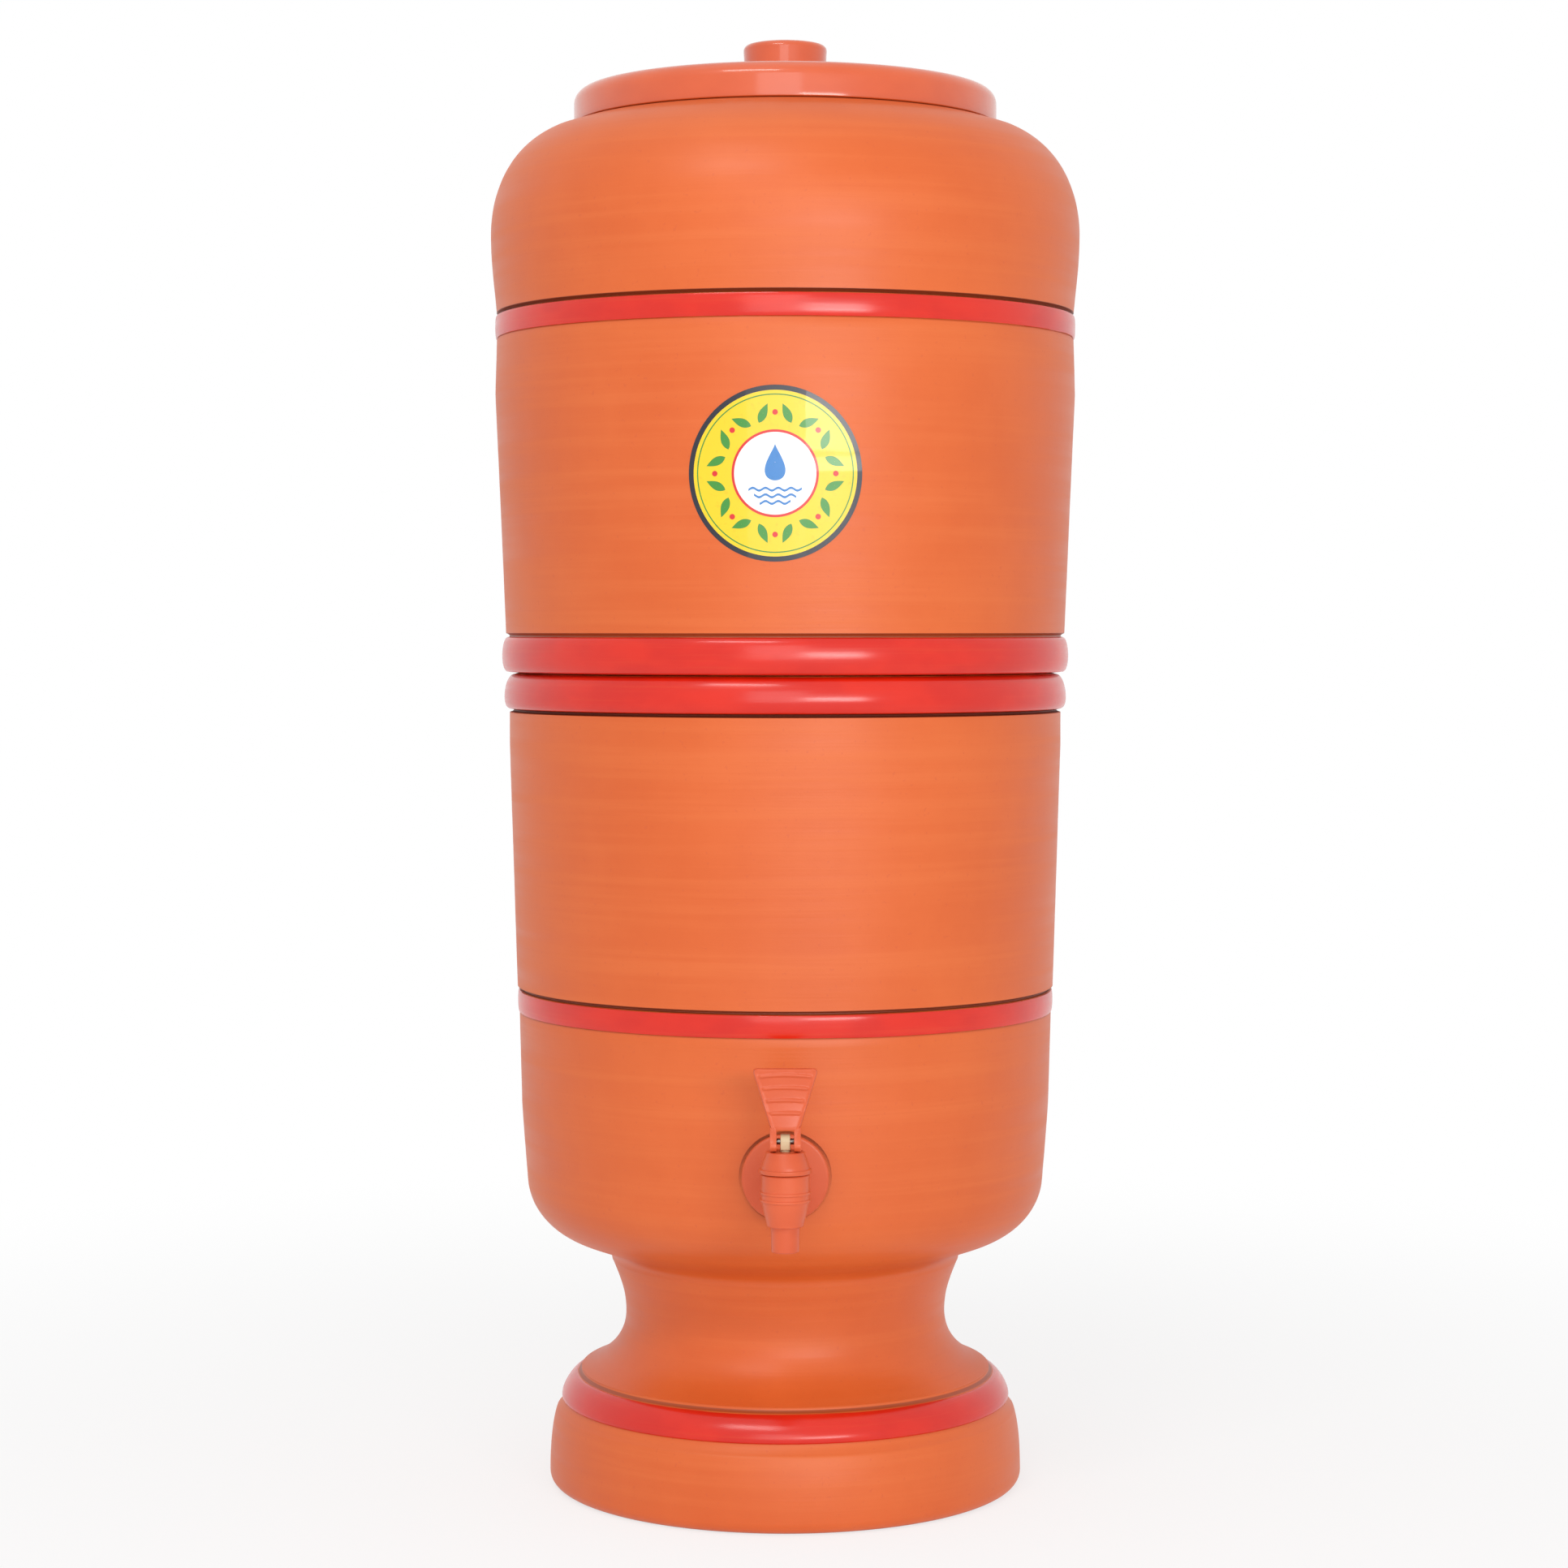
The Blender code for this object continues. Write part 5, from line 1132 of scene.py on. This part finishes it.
def paddleLoop(height):
    d = lever
    half, share = paddleWidth(height)
    bow = d["bow"] * math.sin(math.pi * share)
    thick = (d["neckThick"] + (d["topThick"] - d["neckThick"]) * share) / 2
    fromTop = d["top"] - height
    soft = 1.0
    if fromTop < d["edge"]:
        soft = math.sqrt(max(0.0, 1 - (1 - fromTop / d["edge"]) ** 2)) * 0.7 + 0.3
    loop = []
    for side in (-1, 1):                # the front from left to right, then the back again
        for index in range(d["across"] + 1):
            x = side * half * math.cos(math.pi * index / d["across"])
            edge = min(1.0, math.sqrt(max(0.0, half - abs(x)) / d["edge"]))
            y = side * thick * soft * (0.25 + 0.75 * edge)
            if side < 0:
                stand = paddleFront(x, height, half) + d["crown"] * (1 - (x / half) ** 2)
                y -= stand * edge * soft
            loop.append((x, bow + y, height))
    return loop


def cheek():                            # its foot is an involute, so it rolls without sliding away
    d = lever
    tilt = next(joint for joint in frame["joints"] if joint["name"] == "lever_tilt")
    swing = math.radians(tilt["range_deg"][1])
    rest = pivot[2] - heightsOf("tap_bonnet")[1] - gap
    rate = d["heelLift"] / swing
    outline = [(d["back"], d["neckHeight"]), (d["back"], -rest + 0.5), (d["back"] - 0.5, -rest)]
    for step in range(d["heelSteps"] + 1):
        angle = swing * step / d["heelSteps"]
        support = rest + rate * angle
        outline.append((
            -support * math.sin(angle) - rate * math.cos(angle),
            -support * math.cos(angle) + rate * math.sin(angle),
        ))
    toeY, toeZ = outline[-1]
    outline += [(toeY, toeZ + 1.2), (toeY + 1.2, toeZ + 3.0), (-d["neckThick"] / 2, d["neckHeight"])]
    return outline


def makeLever():
    d = lever
    edgeLow = d["top"] - d["edge"]
    heights = [
        d["crotch"] + (edgeLow - d["crotch"]) * row / d["rows"] for row in range(d["rows"])
    ]
    heights += [d["top"] - d["edge"] * math.cos(math.pi / 2 * step / 6) for step in range(7)]
    loops = [paddleLoop(height) for height in heights]
    paddle = place("lever_paddle", loftMesh("lever_paddle", loops), pivot)
    for side in (-1, 1):
        near, far = sorted((side * d["slotHalf"], side * d["forkHalf"]))
        combine(paddle, slab("cheek", cheek(), near, far, pivot, rounding=0.35), "UNION")
    low, high = boxOf("tap_pivot_pin")
    pin = (high.z - low.z) / 2
    combine(paddle, slab("hole", circle(pin + gap, 36), -9, 9, pivot), "DIFFERENCE")
    finish(paddle, "lever", "tap_plastic", "tap_lever")
    rod = slab("pivot_pin", circle(pin, 36), low.x, high.x, pivot, rounding=0.2)
    finish(rod, "lever", "spring_steel", "tap_pivot_pin")


makeLever()
print("tap lever made")


# The filter candle in the upper chamber

candle = {
    "radius": 27.5, "dome": 17.0, "wall": 8.0, "baseRadius": 30.5, "baseRim": 12.0,
    "stem": 6.0, "bore": 2.5, "baseThick": 5.0, "gasket": 14.0, "threadStart": 2.0, "steps": 96,
}
candleThread = {"pitch": 1.75, "depth": 0.7, "steps": 8}
wingNut = {"radius": 10.5, "span": 22.0, "thick": 3.6, "root": 8.0}
stemSleeve = candle["stem"] + gap       # the bore of what sits on the candle's stem


def makeCandle():
    c = candle
    low, high = heightsOf("candle_ceramic")
    domeLow = high - c["dome"]
    inside, ceiling = c["radius"] - c["wall"], high - c["wall"]
    shell = [(0, ceiling)]
    shell += curve(shell[0], (inside * 0.6, ceiling), (inside, domeLow + 7), (inside, domeLow), 8)
    shell += [(inside, low), (c["radius"] - 0.4, low), (c["radius"], low + 0.4)]
    shell += straight(shell[-1], (c["radius"], domeLow), 10)
    shell += curve(
        shell[-1], (c["radius"], domeLow + c["dome"] * 0.6), (c["radius"] * 0.55, high), (0, high), 20
    )
    finish(turned("candle_shell", shell, c["steps"]), "upper", "filter_ceramic", "candle_ceramic")

    low, high = heightsOf("candle_carbon")
    radius = radiusOf("candle_carbon")
    charge = soften([(0, low, 0), (radius, low, 0.5), (radius, high, 3.0), (0, high, 0)])
    finish(turned("carbon_charge", charge, smallSteps), "upper", "activated_carbon", "candle_carbon")


def makeCandleBase():
    c = candle
    low, high = heightsOf("candle_base")
    floorLow = high - c["baseRim"]
    floorTop = floorLow + c["baseThick"]
    threadTop = floorLow - c["threadStart"]
    seat = c["radius"] + 2 * gap
    outline = [(c["bore"], low), (c["stem"] - 0.8, low)]
    outline += threaded(c["stem"], low + 1.0, threadTop, candleThread)
    outline += [(c["stem"], threadTop + 0.4)]
    outline += soften([
        (c["stem"], floorLow, 0.4), (c["baseRadius"], floorLow, 1.6), (c["baseRadius"], high, 0.7),
        (seat, high, 0.5), (seat, floorTop, 0.3), (c["bore"], floorTop, 0.3),
    ])
    cup = turned("candle_cup", outline, c["steps"], thread=candleThread)
    finish(cup, "upper", "white_plastic", "candle_base")
    for node in ("candle_gasket_upper", "candle_gasket_lower"):
        outline = ringOutline(stemSleeve, c["gasket"], *heightsOf(node), 0.3, 1.0)
        finish(turned(node + "_ring", outline, fittingSteps), "upper", "grey_rubber", node)


def makeWingNut():
    w = wingNut
    low, high = heightsOf("candle_wing_nut")
    hub = soften([
        (stemSleeve, low, 0.5), (w["radius"] - 1.0, low, 0.6), (w["radius"], high, 0.6),
        (stemSleeve, high, 0.5),
    ])
    nut = turned("wing_nut", hub, fittingSteps)
    half = (high - low) / 2
    side = w["thick"] / 2
    ear = [(w["root"], half * 0.2), (w["root"], half * 1.8)]
    ear += arc((w["span"] - half, half), half, 90, -90, 16)
    for turn in (-1, 1):
        outline = [(turn * y, z) for y, z in ear]
        wing = slab("wing", outline, -side, side, (0, axisY, low), rounding=0.9)
        combine(nut, wing, "UNION")
    finish(nut, "upper", "white_plastic", "candle_wing_nut")


makeCandle()
makeCandleBase()
makeWingNut()
print("candle made")


# The float valve under it

valve = {
    "radius": 10.0, "flange": 13.0, "flangeThick": 3.0, "nozzle": 3.6, "nozzleLength": 4.0,
    "socket": 9.8, "bore": 2.5, "cageWall": 1.7, "cagePlate": 2.0, "window": 8.0,
    "windowHigh": 12.0, "stemHole": 5.3,
}
floatArm = {
    "radius": 24.0, "high": 28.0, "edge": 6.0, "draft": 0.3, "seam": 0.5, "seamRise": 0.7,
    "stem": 4.6, "head": 8.0, "headThick": 2.7, "headEdge": 0.4,
}


def makeValve():
    v = valve
    low, high = heightsOf("float_valve_body")
    under = low + v["nozzleLength"]
    over = under + v["flangeThick"]
    socket = high - v["socket"]
    outline = soften([
        (v["bore"], low, 0.3), (v["nozzle"], low, 0.6), (v["nozzle"], under, 0.3),
        (v["flange"], under, 0.2), (v["flange"], over, 0.6), (v["radius"], over, 0.5),
        (v["radius"], high, 0.7), (stemSleeve, high, 0.4), (stemSleeve, socket, 0.2),
        (v["bore"], socket, 0.2),
    ])
    body = turned("valve_body", outline, fittingSteps)
    finish(body, "upper", "white_plastic", "float_valve_body")

    low, high = heightsOf("float_valve_cage")
    inside = v["flange"] - v["cageWall"]
    plateTop = low + v["cagePlate"]
    outline = soften([
        (v["stemHole"], low, 0.3), (v["flange"], low, 0.8), (v["flange"], high, 0.3),
        (inside, high, 0.3), (inside, plateTop, 0.5), (v["stemHole"], plateTop, 0.3),
    ])
    cage = turned("valve_cage", outline, fittingSteps)
    window = [(-20, 0), (20, 0), (20, v["windowHigh"]), (-20, v["windowHigh"])]
    windowLow = (0, axisY, (plateTop + high - v["windowHigh"]) / 2)
    half = v["window"] / 2
    for turn in (0, 90):
        opening = slab("window", window, -half, half, windowLow)
        opening.rotation_euler.z = math.radians(turn)
        combine(cage, opening, "DIFFERENCE")
    finish(cage, "upper", "white_plastic", "float_valve_cage")


def makeFloat():
    outline = ringOutline(0, radiusOf("float_valve_seal"), *heightsOf("float_valve_seal"), 0, 0.4)
    seal = turned("valve_seal", outline, smallSteps)
    finish(seal, "float_arm", "grey_rubber", "float_valve_seal")

    f = floatArm
    low, high = heightsOf("float")
    top = low + f["high"]
    middle = (low + top) / 2
    neck = high - f["headThick"]
    wall = f["radius"] - f["draft"]
    corner = wall - f["edge"]
    edge = f["headEdge"]
    outline = [(0, low + 0.4), (f["radius"] * 0.4, low)]
    outline += arc((corner, low + f["edge"]), f["edge"], -90, 0, 12)
    outline += [(wall, middle - f["seamRise"]), (f["radius"], middle - f["seam"] / 2)]
    outline += [(f["radius"], middle + f["seam"] / 2), (wall, middle + f["seamRise"])]
    outline += arc((corner, top - f["edge"]), f["edge"], 0, 90, 12)
    outline += [(f["stem"] + 1.0, top), (f["stem"], top + 1.0), (f["stem"], neck)]
    outline += [(f["head"] - edge, neck), (f["head"], neck + edge)]
    outline += [(f["head"], high - edge), (f["head"] - edge, high), (0, high)]
    finish(turned("float_bulb", outline, 80), "float_arm", "float_plastic", "float")


makeValve()
makeFloat()
print("float valve made")


# The sticker on the upper chamber: a plain round one, with a drop, waves and a wreath of leaves

sticker = {
    "across": -4.0, "height": 427.5, "radius": 34.6, "border": 2.0, "line": 0.5, "lineInset": 3.4,
    "centre": 17.2, "centreLine": 1.0, "leaves": 16, "leafLong": 8.4, "leafWide": 3.4,
    "leafLean": 0.62, "berry": 1.1, "drop": 7.2, "dropWide": 0.82, "dropUp": 4.4,
    "waves": 3, "waveHalf": 10.5, "waveTaper": 2.2, "waveUp": -6.2, "wavePitch": 2.6,
    "waveSwing": 0.55, "waveRate": 1.25, "waveLine": 0.9, "lift": 0.14, "layer": 0.035,
    "thick": 0.1, "core": 0.02, "steps": 120, "navy": sRgb(28, 30, 46), "yellow": sRgb(247, 206, 30),
    "white": sRgb(250, 249, 244), "green": sRgb(60, 142, 52), "red": sRgb(216, 38, 40),
    "blue": sRgb(52, 126, 196),
}


def onWall(across, up, lift):      # a point of the sticker, wrapped on the chamber's wall
    u = upper
    height = sticker["height"] + up
    share = (height - upperHeights()[2]) / u["wallHeight"]
    radius = u["baseRadius"] + (u["wallRadius"] - u["baseRadius"]) * share
    angle = (sticker["across"] + across) / radius
    radius += handMade(angle, height) + lift
    return (radius * math.sin(angle) * mm, -radius * math.cos(angle) * mm, height * mm)


class Printed:                     # one colour of the print, as thin closed patches
    def __init__(self, layer):
        self.lift = sticker["lift"] + sticker["layer"] * layer
        self.shape = bmesh.new()

    def ribbon(self, one, other, rows=1, closed=True):     # a strip between two outlines
        levels = []
        for row in range(rows + 1):
            share = row / rows
            points = [
                (a[0] + (b[0] - a[0]) * share, a[1] + (b[1] - a[1]) * share)
                for a, b in zip(one, other)
            ]
            levels.append([
                [self.shape.verts.new(onWall(x, y, lift)) for x, y in points]
                for lift in (self.lift, self.lift - sticker["thick"])
            ])
        count = len(one)
        steps = [(index, (index + 1) % count) for index in range(count if closed else count - 1)]
        addFace = self.shape.faces.new
        for near, far in zip(levels, levels[1:]):
            for front, back in zip(near, far):
                for here, after in steps:
                    addFace((front[here], front[after], back[after], back[here]))
        for top, bottom in (levels[0], levels[-1]):
            for here, after in steps:
                addFace((top[here], top[after], bottom[after], bottom[here]))
        if not closed:
            for end in (0, -1):
                for near, far in zip(levels, levels[1:]):
                    addFace((near[0][end], far[0][end], far[1][end], near[1][end]))

    def blob(self, outline, rows=4):   # an outline filled from its middle
        x, y = (sum(point[axis] for point in outline) / len(outline) for axis in range(2))
        share = sticker["core"]
        core = [(x + (point[0] - x) * share, y + (point[1] - y) * share) for point in outline]
        self.ribbon(core, outline, rows)
        bmesh.ops.holes_fill(self.shape, edges=[e for e in self.shape.edges if e.is_boundary])

    def piece(self, name, colour):
        ink = makePrint(name.replace("_", " "), colour)
        finish(place(name, newMesh(name, self.shape), vesselAxis), "upper", None, material=ink)


def around(radius, turn):
    return (radius * math.cos(turn), radius * math.sin(turn))


def leafOutline(centre, direction, long, wide, steps=10):
    side = [
        (long * (step / steps - 0.5), wide / 2 * math.sin(math.pi * (step / steps) ** 0.8))
        for step in range(steps + 1)
    ]
    loop = side + [(x, -y) for x, y in reversed(side[1:-1])]
    c, s = around(1, direction)
    return [(centre[0] + x * c - y * s, centre[1] + x * s + y * c) for x, y in loop]


def makeBacking():
    s = sticker
    border = Printed(0)
    border.blob(circle(s["radius"], s["steps"]), 14)
    border.piece("sticker_border", s["navy"])
    field = Printed(1)
    edge = circle(s["radius"] - s["border"], s["steps"])
    field.ribbon(circle(s["centre"], s["steps"]), edge, 8)
    field.piece("sticker_field", s["yellow"])
    centre = Printed(1)
    centre.blob(circle(s["centre"] - 0.05, s["steps"]), 8)
    centre.piece("sticker_centre", s["white"])


def makeWreath():
    s = sticker
    outer = s["radius"] - s["lineInset"]
    middle = (s["centre"] + outer - s["line"]) / 2
    green = Printed(2)
    green.ribbon(circle(outer - s["line"], s["steps"]), circle(outer, s["steps"]))
    red = Printed(2)
    red.ribbon(circle(s["centre"] - s["centreLine"], s["steps"]), circle(s["centre"], s["steps"]))
    for index in range(s["leaves"]):
        turn = math.tau * (index + 0.5) / s["leaves"]
        lean = s["leafLean"] if index % 2 else -s["leafLean"]
        green.blob(leafOutline(around(middle, turn), turn + lean, s["leafLong"], s["leafWide"]))
        if index % 2:
            berry = math.tau * (index + 1) / s["leaves"]
            red.blob(circle(s["berry"], 24, around(middle, berry)), 2)
    green.piece("sticker_leaves", s["green"])
    red.piece("sticker_berries", s["red"])


def makeDrop():
    s = sticker
    blue = Printed(3)
    drop = []
    for step in range(48):
        turn = math.tau * step / 48
        wide = math.sin(turn) * math.sin(turn / 2) ** 1.6
        drop.append((s["drop"] * s["dropWide"] * wide, s["dropUp"] + s["drop"] * math.cos(turn)))
    blue.blob(drop, 5)
    for wave in range(s["waves"]):
        half = s["waveHalf"] - wave * s["waveTaper"]
        level = s["waveUp"] - wave * s["wavePitch"]
        across = [-half + 2 * half * step / 40 for step in range(41)]
        crest = [(x, level + s["waveSwing"] * math.sin(x * s["waveRate"])) for x in across]
        low, high = ([(x, y + side * s["waveLine"] / 2) for x, y in crest] for side in (-1, 1))
        blue.ribbon(low, high, closed=False)
    blue.piece("sticker_drop", s["blue"])


makeBacking()
makeWreath()
makeDrop()
print("sticker made")


# Floor, light and camera. Sizes and places are metres here.

studio = {
    "floorSize": 8.0, "floorDrop": 0.0002, "floor": sRgb(250, 250, 250),
    "glowNear": 0.72, "glowFrom": 0.25, "glowTo": 0.9,
    "world": 0.63, "background": 1.0, "aim": (0, axisY * mm, 0.3),
}
lamps = {
    "key": {"power": 8.0, "size": (0.9, 0.28), "at": (-0.53, -1.42, 1.75)},
    "side": {"power": 7.5, "size": (0.75, 0.24), "at": (0.6, -1.7, 0.5)},
    "front": {"power": 6.2, "size": (0.9, 1.1), "at": (-0.12, -2.2, 0.75)},
    "top": {"power": 1.0, "size": (1.0, 1.0), "at": (-0.2, -0.2, 1.9)},
}


def seenDirectly(tree):           # 1 where the ray isn't one that lights a surface softly
    ray = addNode(tree, "LightPath").outputs
    seen = ray["Is Camera Ray"]
    for kind in ("Is Glossy Ray", "Is Transmission Ray"):
        seen = addNode(tree, "Math", seen, ray[kind], operation="MAXIMUM").outputs[0]
    return seen


def makeFloor():
    shape = bmesh.new()
    bmesh.ops.create_grid(shape, x_segments=2, y_segments=2, size=studio["floorSize"] / 2)
    mesh = bpy.data.meshes.new("studio_floor")
    shape.to_mesh(mesh)
    shape.free()
    floor = addObject("studio_floor", mesh)
    floor.location.z = cadBox[0][2] - studio["floorDrop"]
    look = Look("studio white", Base_Color=studio["floor"], Roughness=0.9)
    tree = look.tree
    spot = addNode(tree, "TexCoord").outputs["Object"]
    distance = addNode(tree, "VectorMath", spot, operation="LENGTH").outputs["Value"]
    far = look.spread(distance, studio["glowFrom"], studio["glowTo"], studio["glowNear"])
    share = addNode(tree, "Math", seenDirectly(tree), far, operation="MULTIPLY").outputs[0]
    glow = addNode(tree, "Emission", Strength=1.0).outputs[0]
    mix = addNode(tree, "MixShader", share, look.shader.outputs[0], glow).outputs[0]
    feed(tree, mix, tree.nodes["Material Output"].inputs["Surface"])
    mesh.materials.append(look.material)


def makeWorld():
    world = bpy.data.worlds.new("studio")
    bpy.context.scene.world = world
    world.use_nodes = True
    tree = world.node_tree
    tree.nodes.clear()
    strength = addNode(
        tree, "MapRange", seenDirectly(tree), To_Min=studio["world"], To_Max=studio["background"]
    ).outputs["Result"]
    background = addNode(tree, "Background", (1.0, 1.0, 1.0, 1.0), strength).outputs[0]
    addNode(tree, "OutputWorld", background)


def makeLamp(name, power, size, at):
    light = bpy.data.lights.new(name, "AREA")
    light.energy = power
    light.shape = "RECTANGLE"
    light.size, light.size_y = size
    lamp = addObject(name, light)
    lamp.location = at
    lamp.rotation_euler = (Vector(studio["aim"]) - Vector(at)).to_track_quat("-Z", "Y").to_euler()


view = {                          # millimetres again, and the pitch in degrees
    "distance": 1503.9, "height": 367.1, "across": -0.5, "pitch": 2.559, "lens": 80.54, "sensor": 36.0,
}


def makeCamera():
    data = bpy.data.cameras.new("photo_view")
    data.lens = view["lens"]
    data.sensor_width = view["sensor"]
    camera = addObject("photo_view", data)
    camera.location = Vector((view["across"], axisY - view["distance"], view["height"])) * mm
    camera.rotation_euler = (math.radians(90 - view["pitch"]), 0, 0)
    bpy.context.scene.camera = camera


makeFloor()
makeWorld()
for lampName, lamp in lamps.items():
    makeLamp(lampName, **lamp)
makeCamera()
bpy.context.scene.view_settings.view_transform = "Standard"
print("studio ready")
